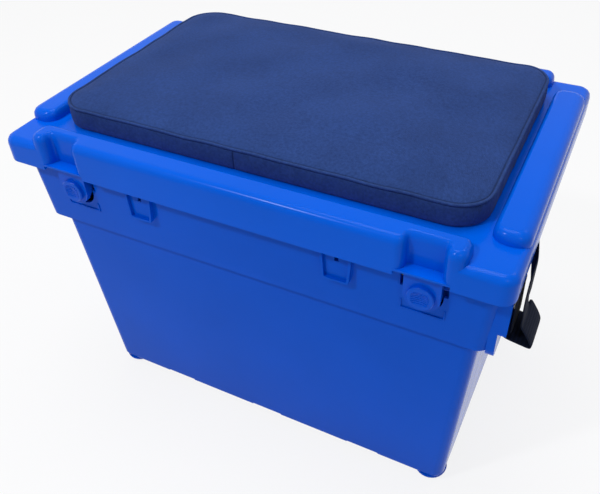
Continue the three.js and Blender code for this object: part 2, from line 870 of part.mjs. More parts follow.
function catchTab(centre) {
  const shelfBottom = notchShelfTop - notchShelf;
  const root = -lidDepth / 2 + notchDepth + wall / 2;
  const back = catchFace + catchStem;
  const outline = [
    [root, notchShelfTop], [root, shelfBottom], [catchFace, shelfBottom],
    [catchFace, catchTop], [catchTip, catchTop], [catchTip, catchTop - catchBarbFace],
    [catchFace, catchTop - catchBarbHeight], [back, catchTop - catchBarbHeight],
    [back, notchShelfTop],
  ];
  return runX(outline, centre - hookHalf, centre + hookHalf);
}

// Lid half of a hinge: two knuckles on an arm under the skirt, with a heel
// whose flat lies against the band when the lid stands fully open
function lidHinge(centre) {
  const reach = hingeLine - bandHalfDepth(hingeHeight) - clearance;
  const normal = [-Math.cos(hingeStop), -Math.sin(hingeStop)];
  const along = [Math.sin(hingeStop), -Math.cos(hingeStop)];
  const heel = (out, run) => [
    hingeLine + normal[0] * out + along[0] * run,
    hingeHeight + normal[1] * out + along[1] * run,
  ];
  const skirt = lidDepth / 2;
  const arm = [
    heel(0, 0), heel(reach, 0), heel(reach, hingeHeelLength),
    [skirt, hingeHeight], [skirt, skirtBottom + wall], [skirt - wall, skirtBottom + wall],
    [hingeLine, hingeHeight + knuckleRadius],
  ];
  return [-1, 1].flatMap((side) => {
    const near = centre + side * (tubKnuckleHalf + clearance);
    const far = near + side * lidKnuckleWidth;
    const [x0, x1] = [near, far].sort((a, b) => a - b);
    return [knuckle(x0, x1), runX(arm, x0, x1)];
  });
}

function makeLid() {
  const outside = lidOutside();
  const latches = [-latchOffset, latchOffset];
  const front = -lidDepth / 2;
  const shelfBottom = notchShelfTop - notchShelf;
  const mouldings = latches.map((x) => (
    runZ(notchPlan(x, wall, front), skirtBottom, railTop).intersect(outside)
  ));
  const notches = latches.map((x) => (
    runZ(notchPlan(x, 0, front - bite), notchShelfTop, railTop + overrun)
  ));
  const lipWidth = notchHalf + notchHornRadius;
  const below = latches.map((x) => box(
    x - lipWidth, x + lipWidth,
    front - overrun, front + notchDepth + wall + bite,
    skirtBottom - overrun, shelfBottom,
  ));
  const ribs = join(...lidRibs()).intersect(outside);
  const shell = join(cut(outside, lidHollow()), ribs, ...mouldings);
  const notched = cut(shell, ...notches, ...below);
  const hinges = [-hingeOffset, hingeOffset];
  const whole = join(notched, ...latches.map(catchTab), ...hinges.flatMap(lidHinge));
  return cut(whole, ...hinges.map(hingeBore));
}

// Dished, ridged button on the front of a lever
function leverButton(centre) {
  const face = plateFront - buttonProud;
  const dishRadius = buttonRadius - buttonRim;
  const dish = [];
  for (let step = 0; step <= dishSteps; step += 1) {
    const share = step / dishSteps;
    dish.push([dishRadius * share, face + buttonDish * (1 - share ** 2)]);
  }
  const button = turned([
    ...dish,
    [buttonRadius - bite, face], [buttonRadius, face + bite],
    [buttonRadius, plateFront + bite], [0, plateFront + bite],
  ], alongY, [centre, 0, buttonHeight], 24);
  const raised = dish.map(([radius, along]) => [radius, along - gripHeight]);
  const layer = turned([
    ...raised, [dishRadius, face + buttonDish + bite], [0, face + buttonDish + bite],
  ], alongY, [centre, 0, buttonHeight], 24);
  const bars = [];
  for (let ridge = 0; ridge < gripRidges; ridge += 1) {
    const z = buttonHeight + (ridge - (gripRidges - 1) / 2) * gripPitch;
    bars.push(box(
      centre - dishRadius + bite, centre + dishRadius - bite,
      face - bite, face + buttonDish + bite / 2,
      z - gripRidge / 2, z + gripRidge / 2,
    ));
  }
  return join(button, layer.intersect(join(...bars)));
}

// Rocker lever: a plate with a round foot, flanges back to the pivot, a hook
// behind its top edge and a boss for the spring
function makeLever(centre) {
  const outline = new THREE.Shape();
  outline.moveTo(centre - plateHalf, hookBottom + bite);
  outline.lineTo(centre - plateHalf, buttonHeight);
  outline.absarc(centre, buttonHeight, plateHalf, Math.PI, Math.PI * 2, false);
  outline.lineTo(centre + plateHalf, hookBottom + bite);
  outline.closePath();
  const plate = runY(outline, plateFront, plateBack, 12);
  const hook = runX([
    [plateFront, hookBottom], [hookTip, hookBottom], [hookTip, hookBottom + catchBarbFace],
    [plateBack, plateTop], [plateFront + bite, plateTop], [plateFront, plateTop - bite],
  ], centre - plateHalf, centre + plateHalf);
  const hub = rod(hubRadius, -leverHalf, leverHalf, alongX, [centre, pivotLine, pivotHeight], 20);
  const web = [
    [plateBack - bite, flangeBottom], [pivotLine, pivotHeight - hubRadius + bite],
    [pivotLine, pivotHeight + hubRadius - bite], [plateBack - bite, flangeTop],
  ];
  const flanges = [-1, 1].map((side) => {
    const outer = centre + side * (plateHalf - flangeInset);
    const [x0, x1] = [outer, outer - side * flangeThickness].sort((a, b) => a - b);
    return runX(web, x0, x1);
  });
  const boss = rod(bossRadius, plateBack - bite, bossEnd, alongY, [centre, 0, springHeight], 16);
  const whole = join(plate, hook, hub, ...flanges, boss, leverButton(centre));
  const bore = rod(
    pinRadius + clearance / 2, -leverHalf - overrun, leverHalf + overrun,
    alongX, [centre, pivotLine, pivotHeight], 16,
  );
  return cut(whole, bore);
}

function makeLatchPin(centre) {
  const end = windowHalf + cheekThickness + clearance * 2;
  const origin = [centre, pivotLine, pivotHeight];
  const shaft = rod(pinRadius, -end, end + pinRadius, alongX, origin, 16);
  const head = rod(pinRadius + bite, end, end + pinRadius, alongX, origin, 16);
  return join(shaft, head);
}

// Round wire wound about the Y axis behind the button
class SpringCurve extends THREE.Curve {
  constructor(centre, from, to) {
    super();
    this.set = { centre, from, to };
  }

  getPoint(share, target = new THREE.Vector3()) {
    const { centre, from, to } = this.set;
    const angle = share * springTurns * Math.PI * 2;
    return target.set(
      centre + springRadius * Math.cos(angle),
      from + (to - from) * share,
      springHeight + springRadius * Math.sin(angle),
    );
  }
}

function makeSpring(centre) {
  const from = bossEnd + springWire + clearance / 2;
  const to = cheekBack - seatThickness - springWire - clearance / 2;
  const section = new THREE.Shape();
  section.absarc(0, 0, springWire, 0, Math.PI * 2, false);
  const geometry = new THREE.ExtrudeGeometry(section, {
    steps: springTurns * springSteps,
    curveSegments: springSides,
    extrudePath: new SpringCurve(centre, from, to),
    bevelEnabled: false,
  });
  return solid(geometry);
}

function makeHingePin(centre) {
  const reach = tubKnuckleHalf + clearance + lidKnuckleWidth + clearance;
  const profile = [
    [0, -reach - hingePinHeadThickness], [hingePinHead, -reach - hingePinHeadThickness],
    [hingePinHead, -reach], [hingePinRadius, -reach], [hingePinRadius, reach],
    [hingePinHead, reach], [hingePinHead, reach + hingePinHeadThickness],
    [0, reach + hingePinHeadThickness],
  ];
  return turned(profile, alongX, [centre, hingeLine, hingeHeight], 20);
}

// Domed foot with a spigot up into the floor
function makeFoot(x, y) {
  const top = tubBottom - clearance;
  const profile = [[0, 0], [footFlat, 0]];
  const steps = 6;
  for (let step = 1; step <= steps; step += 1) {
    const angle = step / steps * Math.PI / 2;
    profile.push([
      footFlat + (footRadius - footFlat) * Math.sin(angle),
      (top - bite) * (1 - Math.cos(angle)),
    ]);
  }
  const spigotTop = tubBottom + wall - bite - clearance;
  profile.push([footRadius, top], [footSpigot, top], [footSpigot, spigotTop], [0, spigotTop]);
  const hole = rod(
    screwShank + clearance / 2, screwTip - clearance, spigotTop + overrun,
    alongZ, [x, y, 0], 12,
  );
  return cut(turned(profile, alongZ, [x, y, 0], 28), hole);
}

function makeFootScrew(x, y) {
  const seat = tubBottom + wall + clearance / 2;
  const profile = [
    [0, screwTip], [screwShank - bite, screwTip], [screwShank, screwTip + bite],
    [screwShank, seat], [screwHead, seat], [screwHead, seat + screwHeadHeight / 2],
    [screwHead - bite, seat + screwHeadHeight], [0, seat + screwHeadHeight],
  ];
  const top = seat + screwHeadHeight;
  const slot = (halfX, halfY) => box(
    x - halfX, x + halfX,
    y - halfY, y + halfY,
    top - driveDepth, top + overrun,
  );
  const drive = join(slot(driveLength / 2, driveWidth / 2), slot(driveWidth / 2, driveLength / 2));
  return cut(turned(profile, alongZ, [x, y, 0], 16), drive);
}

// Tray at the left end of the ledge, with a flange all round. Its walls lean
// out with height, so every inside size is asked for at a height.
const trayFlangeBottom = stepHeight + wall + clearance;
const trayTop = trayFlangeBottom + trayFlange;
const trayBottom = trayFlangeBottom - trayDepth;
const trayFloor = trayBottom + trayWall;
const bandInnerLength = bandHalfLength(stepHeight + wall) - wall;
const bandInnerDepth = bandHalfDepth(stepHeight + wall) - wall;
const trayCentre = -bandInnerLength + clearance + trayEndOverhang + trayBodyLength / 2;
const crossDividers = ['left', 'right'];
const cellPitch = (trayBodyLength - trayWall) / (crossDividers.length + 1);
const crossPlaces = crossDividers.map((name, place) => (
  trayCentre + (place - (crossDividers.length - 1) / 2) * cellPitch
));

function trayInside(size, z) {
  return size / 2 - trayWall - trayDraft * (trayTop - z) / (trayTop - trayFloor);
}

// Pair of upright guides for one end of a divider, drawn on the wall's slope
function dividerGuides(size, centre, side, place, run) {
  const top = trayTop - guideDrop;
  const low = trayInside(size, trayFloor);
  const high = trayInside(size, top);
  const outline = [
    [low + bite, trayFloor - bite], [low - guideDepth, trayFloor - bite],
    [high - guideDepth, top], [high + bite, top],
  ].map(([out, z]) => [centre + side * out, z]);
  const near = dividerThickness / 2 + clearance;
  return join(
    run(outline, place - near - guideWidth, place - near),
    run(outline, place + near, place + near + guideWidth),
  );
}

function runAcross(outline, y0, y1) {
  return runY(new THREE.Shape(outline.map(([x, z]) => new THREE.Vector2(x, z))), y0, y1);
}

function makeTray() {
  const level = (z, inset, corner) => ring({
    x: trayCentre,
    z,
    halfX: trayBodyLength / 2 - inset,
    halfY: trayBodyWidth / 2 - inset,
    corner,
    steps: 3,
  });
  const body = loft([
    level(trayBottom, trayDraft + trayWall, trayCorner),
    level(trayFloor, trayDraft, trayCorner),
    level(trayTop, 0, trayCorner),
  ]);
  const flange = loft([trayFlangeBottom, trayTop].map((z) => ring({
    x: trayCentre,
    z,
    halfX: trayBodyLength / 2 + trayEndOverhang,
    halfY: bandInnerDepth - clearance,
    corner: trayCorner,
    steps: 3,
  })));
  const hollow = loft([
    level(trayFloor, trayDraft + trayWall + bite, trayCorner - trayWall),
    level(trayFloor + bite, trayDraft + trayWall, trayCorner - trayWall),
    level(trayTop, trayWall, trayCorner - trayWall),
    level(trayTop + overrun, trayWall, trayCorner - trayWall),
  ]);
  const guides = [-1, 1].flatMap((side) => [
    dividerGuides(trayBodyLength, trayCentre, side, 0, runAcross),
    ...crossPlaces.map((x) => dividerGuides(trayBodyWidth, 0, side, x, runX)),
  ]);
  return join(cut(join(body, flange), hollow), ...guides);
}

// Upright outline of a divider between two sloping walls, with half-depth
// slots from above or from below where another divider crosses it
function dividerOutline(size, centre, slots, fromAbove) {
  const low = trayFloor + clearance;
  const high = trayTop - dividerDrop;
  const middle = (low + high) / 2 + (fromAbove ? -clearance : clearance) / 2;
  const half = dividerThickness / 2 + clearance;
  const lowHalf = trayInside(size, low) - clearance;
  const highHalf = trayInside(size, high) - clearance;
  const notches = slots.flatMap((place) => {
    const edge = fromAbove ? high : low;
    return [[place - half, edge], [place - half, middle], [place + half, middle], [place + half, edge]];
  });
  return [
    [centre - lowHalf, low], ...(fromAbove ? [] : notches), [centre + lowHalf, low],
    [centre + highHalf, high], ...(fromAbove ? notches.reverse() : []), [centre - highHalf, high],
  ];
}

function makeLongDivider() {
  const outline = dividerOutline(trayBodyLength, trayCentre, crossPlaces, true);
  return runAcross(outline, -dividerThickness / 2, dividerThickness / 2);
}

function makeCrossDivider(x) {
  const outline = dividerOutline(trayBodyWidth, 0, [0], false);
  return runX(outline, x - dividerThickness / 2, x + dividerThickness / 2);
}

// Box cushion: seamed border, drawn in at half height, and a crowned top
function makeCushion() {
  const bottom = bedTop + clearance;
  const y = (cushionFront + cushionBack) / 2;
  const halfY = (cushionBack - cushionFront) / 2;
  const rise = cushionTop - cushionSeam;
  const level = (z, inset) => ring({
    y,
    z,
    halfX: cushionLength / 2 - inset,
    halfY: halfY - inset,
    corner: cushionCorner - Math.min(inset, cushionCorner / 2),
    steps: 6,
  });
  const border = cushionSeam - bottom;
  const rings = [
    level(bottom, cushionBead),
    level(bottom + cushionBeadHeight, 0),
    level(bottom + border / 4, cushionPinch),
    level(bottom + border / 2, cushionPinch),
    level(cushionSeam - cushionBeadHeight * 2, cushionPinch / 2),
    level(cushionSeam - cushionBeadHeight, cushionPinch),
    level(cushionSeam, 0),
    level(cushionSeam + cushionBeadHeight / 2, cushionPinch),
  ];
  const crownShares = [0.06, 0.14, 0.28, 0.5, 0.75];
  crownShares.forEach((share) => {
    const lift = rise * Math.sin(Math.sqrt(share) * Math.PI / 2);
    rings.push(level(cushionSeam + lift, cushionPinch + share * (halfY - cushionCorner)));
  });
  return loft(rings);
}

// Webbing as a flat ribbon: each station has a centre and a width direction
function ribbon(stations, width, thickness) {
  const positions = [];
  const index = [];
  stations.forEach(({ at, across }, place) => {
    const before = stations[Math.max(place - 1, 0)].at;
    const after = stations[Math.min(place + 1, stations.length - 1)].at;
    const direction = after.clone().sub(before).normalize();
    const face = direction.clone().cross(across).normalize();
    const side = face.clone().cross(direction).normalize();
    const corners = [[-1, -1], [1, -1], [1, 1], [-1, 1]];
    corners.forEach(([wide, thick]) => {
      const corner = at.clone();
      corner.addScaledVector(side, wide * width / 2);
      corner.addScaledVector(face, thick * thickness / 2);
      positions.push(...corner.toArray());
    });
  });
  const count = 4;
  for (let place = 0; place + 1 < stations.length; place += 1) {
    for (let side = 0; side < count; side += 1) {
      const a = place * count + side;
      const b = place * count + (side + 1) % count;
      index.push(a, b, b + count, a, b + count, a + count);
    }
  }
  const last = (stations.length - 1) * count;
  index.push(0, 2, 1, 0, 3, 2, last, last + 1, last + 2, last, last + 2, last + 3);
  const geometry = new THREE.BufferGeometry();
  geometry.setAttribute('position', new THREE.Float32BufferAttribute(positions, 3));
  geometry.setIndex(index);
  return solid(geometry);
}

// The loop at a lug, seen from the front: up from the sewn end, over the plate,
// down the slot, out to the hanging fold and back up. Places are [out, up] from
// the top of the plate's inner face.
const lugLoop = [
  [5.2, -30.5], [4.8, -16.5], [4.45, -4.5], [4.45, 0.9], [2.9, 2.7],
  [0.1, 2.7], [-1.65, 0.7], [-1.75, -3.5], [-1.75, -17.5], [-1.75, -30.5],
  [-1, -35.3], [2.9, -37.9], [8.5, -39.1], [15.5, -40.3], [20.1, -40.9],
  [21.7, -40.1], [21.5, -38.3], [18.9, -32.9], [15.1, -26.9],
];
const strapTurnStart = [11.9, -22.1];
const strapTurnEnd = [8.9, -8.5];

// From the right lug back along the end: [out, back, up] from the lug's loop
const lugRun = [[8.7, 30, -8.5], [6.4, 44, -8.5], [3.9, 58, -9], [1.1, 80, -10]];

// Round the rear corners: [out, back, up] from the lug's line and the rear run
const rightRun = [
  [-0.1, -120, 28], [-0.3, -80, 23], [-0.7, -45, 18], [-1.1, -20.5, 14],
  [-6.1, -6, 10.5], [-19, 0.4, 7], [-44.5, 1.2, 3.5], [-74.5, 0, 0],
];
const leftRun = [
  [-114.5, 0, 0], [-74.5, 0.8, 2.5], [-39.5, 3, 12], [-16.5, 5, 23],
  [-2.5, 4, 30], [6.5, -1.5, 33], [9.6, -8, 34],
];

function lugStations(signX, centreY) {
  const flat = new THREE.Vector3(0, 1, 0);
  const place = ([out, up], y) => new THREE.Vector3(signX * (lugPlateInner + out), y, lugTop + up);
  const stations = lugLoop.map((at) => ({ at: place(at, centreY), across: flat }));
  for (let step = 0; step <= strapTurnSteps; step += 1) {
    const angle = step / strapTurnSteps * Math.PI / 2;
    const along = strapTurnStart.map((from, axis) => (
      from + (strapTurnEnd[axis] - from) * Math.sin(angle)
    ));
    stations.push({
      at: place(along, centreY + strapTurnRadius * (1 - Math.cos(angle))),
      across: new THREE.Vector3(0, Math.cos(angle), -Math.sin(angle)),
    });
  }
  return stations;
}

function makeStrap() {
  const down = new THREE.Vector3(0, 0, -1);
  const run = (places, signX, y, z) => places.map(([out, back, up]) => ({
    at: new THREE.Vector3(signX * (lugPlateInner + out), y + back, z + up),
    across: down,
  }));
  const stations = [
    ...lugStations(1, -lugCentre),
    ...run(lugRun, 1, -lugCentre, lugTop),
    ...run(rightRun, 1, strapBackLine, strapBackHeight),
    ...run(leftRun, -1, strapBackLine, strapBackHeight),
    ...lugStations(-1, lugCentre).reverse(),
  ];
  return ribbon(stations, strapWidth, strapThickness);
}

// Three-bar slide: side bars inside the webbing, centre bar outside it
function makeSlide() {
  const gap = strapThickness / 2 + clearance + slideBar;
  const cheekInner = strapWidth / 2 + clearance * 2;
  const cheekOuter = cheekInner + slideCheek;
  const end = slidePitch + slideBar + bite;
  const bars = [[-1, -1], [0, 1], [1, -1]].map(([place, side]) => rod(
    slideBar, -cheekInner - bite, cheekInner + bite, alongZ,
    [slideCentre + place * slidePitch, strapBackLine + side * gap, strapBackHeight], 12,
  ));
  const cheeks = [-1, 1].map((side) => {
    const [z0, z1] = [side * cheekInner, side * cheekOuter].sort((a, b) => a - b);
    return box(
      slideCentre - end, slideCentre + end,
      strapBackLine - gap - slideBar, strapBackLine + gap + slideBar,
      strapBackHeight + z0, strapBackHeight + z1,
    );
  });
  return join(...cheeks, ...bars);
}

const seatBox = new THREE.Group();
seatBox.name = 'fishing_seat_box';
seatBox.add(part('tub', makeTub(), blue, 0.25));
seatBox.add(part('lid', makeLid(), blue, 0.25));
seatBox.add(part('cushion', makeCushion(), navy, 0.9));
seatBox.add(part('tray', makeTray(), blue, 0.35));
seatBox.add(part('tray_divider_long', makeLongDivider(), blue, 0.35));
crossDividers.forEach((name, place) => {
  seatBox.add(part(`tray_divider_${name}`, makeCrossDivider(crossPlaces[place]), blue, 0.35));
});
seatBox.add(part('shoulder_strap', makeStrap(), black, 0.85));
seatBox.add(part('strap_slide', makeSlide(), black, 0.5));
[['left', -1], ['right', 1]].forEach(([side, sign]) => {
  const latch = sign * latchOffset;
  seatBox.add(part(`latch_lever_${side}`, makeLever(latch), blue, 0.3));
  seatBox.add(part(`latch_pin_${side}`, makeLatchPin(latch), steel, 0.35, 1));
  seatBox.add(part(`latch_spring_${side}`, makeSpring(latch), steel, 0.35, 1));
  seatBox.add(part(`hinge_pin_${side}`, makeHingePin(sign * hingeOffset), steel, 0.35, 1));
});
footPlaces().forEach(({ name, x, y }) => {
  seatBox.add(part(`foot_${name}`, makeFoot(x, y), blue, 0.35));
  seatBox.add(part(`foot_screw_${name}`, makeFootScrew(x, y), steel, 0.35, 1));
});

export default seatBox;
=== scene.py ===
import math

import bmesh
import bpy
import numpy as np
from mathutils import Matrix, Vector


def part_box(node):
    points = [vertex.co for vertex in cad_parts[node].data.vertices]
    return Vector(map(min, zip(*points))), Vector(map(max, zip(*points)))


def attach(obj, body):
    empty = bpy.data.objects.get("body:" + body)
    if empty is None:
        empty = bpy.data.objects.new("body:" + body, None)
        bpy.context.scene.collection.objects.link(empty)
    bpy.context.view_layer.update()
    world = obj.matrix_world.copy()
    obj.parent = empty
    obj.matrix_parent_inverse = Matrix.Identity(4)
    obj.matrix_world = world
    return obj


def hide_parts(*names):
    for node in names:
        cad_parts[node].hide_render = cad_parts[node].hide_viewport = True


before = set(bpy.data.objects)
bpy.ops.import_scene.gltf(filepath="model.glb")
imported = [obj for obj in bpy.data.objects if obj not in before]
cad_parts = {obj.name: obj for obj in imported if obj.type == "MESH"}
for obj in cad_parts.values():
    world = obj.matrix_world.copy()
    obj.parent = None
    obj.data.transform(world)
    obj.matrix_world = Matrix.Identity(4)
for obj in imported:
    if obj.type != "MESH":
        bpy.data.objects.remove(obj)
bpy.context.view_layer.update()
mm = 0.001
# Points this close are one point, in metres: in a CAD solid, and in a surface made here
weldDistance = 0.00001
mergeDistance = 0.000001


# Objects and meshes

def linkedPiece(name, data):
    piece = bpy.data.objects.new(name, data)
    bpy.context.scene.collection.objects.link(piece)
    return piece


def meshObject(name, points, faces, smooth=True):
    data = bpy.data.meshes.new(name)
    data.from_pydata(np.asarray(points, float).tolist(), [], faces)
    data.update()
    data.polygons.foreach_set("use_smooth", [smooth] * len(data.polygons))
    return linkedPiece(name, data)


# A mesh's points, one row each, in metres
def meshPoints(data):
    places = np.empty(len(data.vertices) * 3)
    data.vertices.foreach_get("co", places)
    return places.reshape(-1, 3)


# Quads of a grid of rows by columns whose last column joins the first:
# point (row, column) has the number row * columns + column
def gridFaces(rows, columns):
    row, column = np.meshgrid(np.arange(rows - 1), np.arange(columns), indexing="ij")
    a = row * columns + column
    b = row * columns + (column + 1) % columns
    return np.stack([a, b, b + columns, a + columns], axis=-1).reshape(-1, 4)


# Points that lie together become one, and empty faces go
def mergeDoubles(piece):
    shape = bmesh.new()
    shape.from_mesh(piece.data)
    bmesh.ops.remove_doubles(shape, verts=shape.verts, dist=mergeDistance)
    bmesh.ops.dissolve_degenerate(shape, edges=shape.edges, dist=mergeDistance)
    shape.to_mesh(piece.data)
    shape.free()
    piece.data.update()


# A copy of a CAD solid. With an angle, faces that lie within it of one plane are joined
def weldedCopy(nodeName, name, flatAngle=None):
    shape = bmesh.new()
    shape.from_mesh(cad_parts[nodeName].data)
    bmesh.ops.remove_doubles(shape, verts=shape.verts, dist=weldDistance)
    if flatAngle is not None:
        bmesh.ops.dissolve_limit(shape, angle_limit=math.radians(flatAngle),
                                 verts=shape.verts, edges=shape.edges)
    data = bpy.data.meshes.new(name)
    shape.to_mesh(data)
    shape.free()
    return linkedPiece(name, data)


# Material nodes

def newMaterial(name):
    material = bpy.data.materials.new(name)
    material.use_nodes = True
    tree = material.node_tree
    return material, tree, tree.nodes["Principled BSDF"]


# Each value goes to the input of that name, or else to the node's own setting
def node(tree, kind, **values):
    made = tree.nodes.new(kind)
    for key, value in values.items():
        if key in made.inputs:
            made.inputs[key].default_value = value
        else:
            setattr(made, key, value)
    return made


def setShader(shader, **values):
    names = {"roughness": "Roughness", "specular": "Specular IOR Level", "metallic": "Metallic",
             "sheen": "Sheen Weight", "sheenRoughness": "Sheen Roughness"}
    for key, value in values.items():
        shader.inputs[names[key]].default_value = value


# The values are numbers or the outputs of other nodes
def calculate(tree, operation, *values):
    made = node(tree, "ShaderNodeMath", operation=operation)
    for socket, value in zip(made.inputs, values):
        if isinstance(value, bpy.types.NodeSocket):
            tree.links.new(value, socket)
        else:
            socket.default_value = value
    return made.outputs["Value"]


def objectCoordinates(tree, scale=(1, 1, 1)):
    coordinates = node(tree, "ShaderNodeTexCoord")
    mapping = node(tree, "ShaderNodeMapping", Scale=scale)
    tree.links.new(coordinates.outputs["Object"], mapping.inputs["Vector"])
    return mapping.outputs["Vector"]


def noise(tree, place, scale, detail):
    made = node(tree, "ShaderNodeTexNoise", Scale=scale, Detail=detail)
    tree.links.new(place, made.inputs["Vector"])
    return made.outputs["Fac"]


# Parallel threads across a direction. The count is about twice their number in a metre
def threadWave(tree, place, count, direction, distortion=0.0):
    made = node(tree, "ShaderNodeTexWave", Scale=count / (2 * math.pi), Distortion=distortion,
                bands_direction=direction)
    tree.links.new(place, made.inputs["Vector"])
    return made.outputs["Fac"]


# The source's part between two limits, stretched over two new ones
def levels(tree, source, limits, results):
    made = node(tree, "ShaderNodeMapRange")
    names = ("From Min", "From Max", "To Min", "To Max")
    for name, value in zip(names, (*limits, *results)):
        made.inputs[name].default_value = value
    tree.links.new(source, made.inputs["Value"])
    return made.outputs["Result"]


# From the dark colour at the first limit to the light one at the second
def ramp(tree, source, limits, dark, light):
    made = node(tree, "ShaderNodeValToRGB")
    for element, position, color in zip(made.color_ramp.elements, limits, (dark, light)):
        element.position = position
        element.color = (*color, 1)
    tree.links.new(source, made.inputs["Fac"])
    return made.outputs["Color"]


def bump(tree, height, strength, distance):
    made = node(tree, "ShaderNodeBump", Strength=strength, Distance=distance)
    tree.links.new(height, made.inputs["Height"])
    return made.outputs["Normal"]


# Glossy moulded polypropylene: faint flow marks, fine scuffs and orange peel
plastic = {
    "tub": {"color": (0.0, 0.09, 0.62), "specular": 0.055},
    "lid": {"color": (0.0, 0.108, 0.71), "specular": 0.075},
    "lever": {"color": (0.0, 0.094, 0.66), "specular": 0.1},
    "spread": 0.05,
    "roughness": (0.18, 0.23),
    "flowScale": 7.0,
    "flowDetail": 3.0,
    "flowLimits": (0.3, 0.7),
    "scuffScale": 60.0,
    "scuffDetail": 4.0,
    "scuffLimits": (0.45, 0.75),
    "scuffStretch": (1.0, 1.0, 0.16),
    "peelScale": 260.0,
    "peelDetail": 2.0,
    "peelStrength": 0.02,
    "peelDistance": 0.0004,
}


def plasticMaterial(name, piece):
    color = plastic[piece]["color"]
    material, tree, shader = newMaterial(name)
    place = objectCoordinates(tree)
    flow = noise(tree, place, plastic["flowScale"], plastic["flowDetail"])
    dark = tuple(c * (1 - plastic["spread"]) for c in color)
    light = tuple(c * (1 + plastic["spread"]) for c in color)
    tree.links.new(ramp(tree, flow, plastic["flowLimits"], dark, light), shader.inputs["Base Color"])
    stretched = objectCoordinates(tree, plastic["scuffStretch"])
    scuff = noise(tree, stretched, plastic["scuffScale"], plastic["scuffDetail"])
    tree.links.new(levels(tree, scuff, plastic["scuffLimits"], plastic["roughness"]),
                   shader.inputs["Roughness"])
    peel = noise(tree, place, plastic["peelScale"], plastic["peelDetail"])
    tree.links.new(bump(tree, peel, plastic["peelStrength"], plastic["peelDistance"]),
                   shader.inputs["Normal"])
    setShader(shader, specular=plastic[piece]["specular"])
    return material


# Woven polyester cloth: crossed threads and a fine grain under a faint broad mottle,
# with painted shade where the seam attribute is 1: the seam's grooves and the upright join's crease
cloth = {
    "dark": (0.0185, 0.046, 0.170),
    "light": (0.0225, 0.056, 0.205),
    "seamPaintedShade": 0.45,
    "mottleScale": 16.0,
    "mottleLimits": (0.35, 0.65),
    "grainScale": 420.0,
    "grainLimits": (0.3, 0.7),
    "grainShade": 0.16,
    "detail": 3.0,
    "threads": 1500.0,
    "threadBend": 0.6,
    "threadStrength": 0.4,
    "threadDistance": 0.0003,
    "roughness": 0.9,
    "specular": 0.12,
    "sheen": 0.03,
    "sheenRoughness": 0.5,
}


def clothMaterial(name):
    material, tree, shader = newMaterial(name)
    place = objectCoordinates(tree)
    mottle = noise(tree, place, cloth["mottleScale"], cloth["detail"])
    grain = noise(tree, place, cloth["grainScale"], cloth["detail"])
    shade = levels(tree, grain, cloth["grainLimits"], (1 - cloth["grainShade"], 1 + cloth["grainShade"]))
    seam = node(tree, "ShaderNodeAttribute", attribute_name="seam")
    # Painted shade: the cloth is darker in the seam's grooves and along the upright join
    darker = calculate(tree, "MULTIPLY_ADD", seam.outputs["Fac"], -cloth["seamPaintedShade"], 1.0)
    tint = node(tree, "ShaderNodeVectorMath", operation="SCALE")
    tree.links.new(ramp(tree, mottle, cloth["mottleLimits"], cloth["dark"], cloth["light"]), tint.inputs[0])
    tree.links.new(calculate(tree, "MULTIPLY", shade, darker), tint.inputs["Scale"])
    tree.links.new(tint.outputs["Vector"], shader.inputs["Base Color"])
    warp, weft = (threadWave(tree, place, cloth["threads"], direction, cloth["threadBend"])
                  for direction in ("X", "Y"))
    weave = calculate(tree, "MAXIMUM", warp, weft)
    tree.links.new(bump(tree, weave, cloth["threadStrength"], cloth["threadDistance"]),
                   shader.inputs["Normal"])
    setShader(shader, roughness=cloth["roughness"], specular=cloth["specular"],
              sheen=cloth["sheen"], sheenRoughness=cloth["sheenRoughness"])
    return material


# Ribbed webbing, on the strip attribute: its x runs along the strap and its y across it, in metres
webbing = {
    "dark": (0.0006, 0.0025, 0.011),
    "light": (0.002, 0.007, 0.028),
    "limits": (0.0, 0.8),
    "ribs": 1100.0,
    "cross": 620.0,
    "crossBend": 0.4,
    "strength": 0.5,
    "distance": 0.0004,
    "roughness": 0.8,
    "specular": 0.12,
    "sheen": 0.01,
}


def webbingMaterial(name):
    material, tree, shader = newMaterial(name)
    strip = node(tree, "ShaderNodeAttribute", attribute_name="strip").outputs["Vector"]
    along = threadWave(tree, strip, webbing["cross"], "X", webbing["crossBend"])
    across = threadWave(tree, strip, webbing["ribs"], "Y")
    ribs = calculate(tree, "MULTIPLY", along, across)
    tree.links.new(ramp(tree, ribs, webbing["limits"], webbing["dark"], webbing["light"]),
                   shader.inputs["Base Color"])
    tree.links.new(bump(tree, ribs, webbing["strength"], webbing["distance"]), shader.inputs["Normal"])
    setShader(shader, roughness=webbing["roughness"], specular=webbing["specular"], sheen=webbing["sheen"])
    return material


# Bright zinc on the pins, springs and screws
steel = {"color": (0.42, 0.43, 0.45), "darkShare": 0.85, "roughness": 0.34,
         "grain": 900.0, "detail": 3.0, "limits": (0.3, 0.7)}


def steelMaterial(name):
    material, tree, shader = newMaterial(name)
    grain = noise(tree, objectCoordinates(tree), steel["grain"], steel["detail"])
    dark = tuple(c * steel["darkShare"] for c in steel["color"])
    tree.links.new(ramp(tree, grain, steel["limits"], dark, steel["color"]), shader.inputs["Base Color"])
    setShader(shader, metallic=1.0, roughness=steel["roughness"])
    return material


# Matt black plastic of the strap's slide
slidePlastic = {"color": (0.008, 0.009, 0.012), "roughness": 0.5,
                "grain": 700.0, "detail": 3.0, "strength": 0.2, "distance": 0.0002}


def slideMaterial(name):
    material, tree, shader = newMaterial(name)
    grain = noise(tree, objectCoordinates(tree), slidePlastic["grain"], slidePlastic["detail"])
    tree.links.new(bump(tree, grain, slidePlastic["strength"], slidePlastic["distance"]),
                   shader.inputs["Normal"])
    shader.inputs["Base Color"].default_value = (*slidePlastic["color"], 1)
    setShader(shader, roughness=slidePlastic["roughness"])
    return material


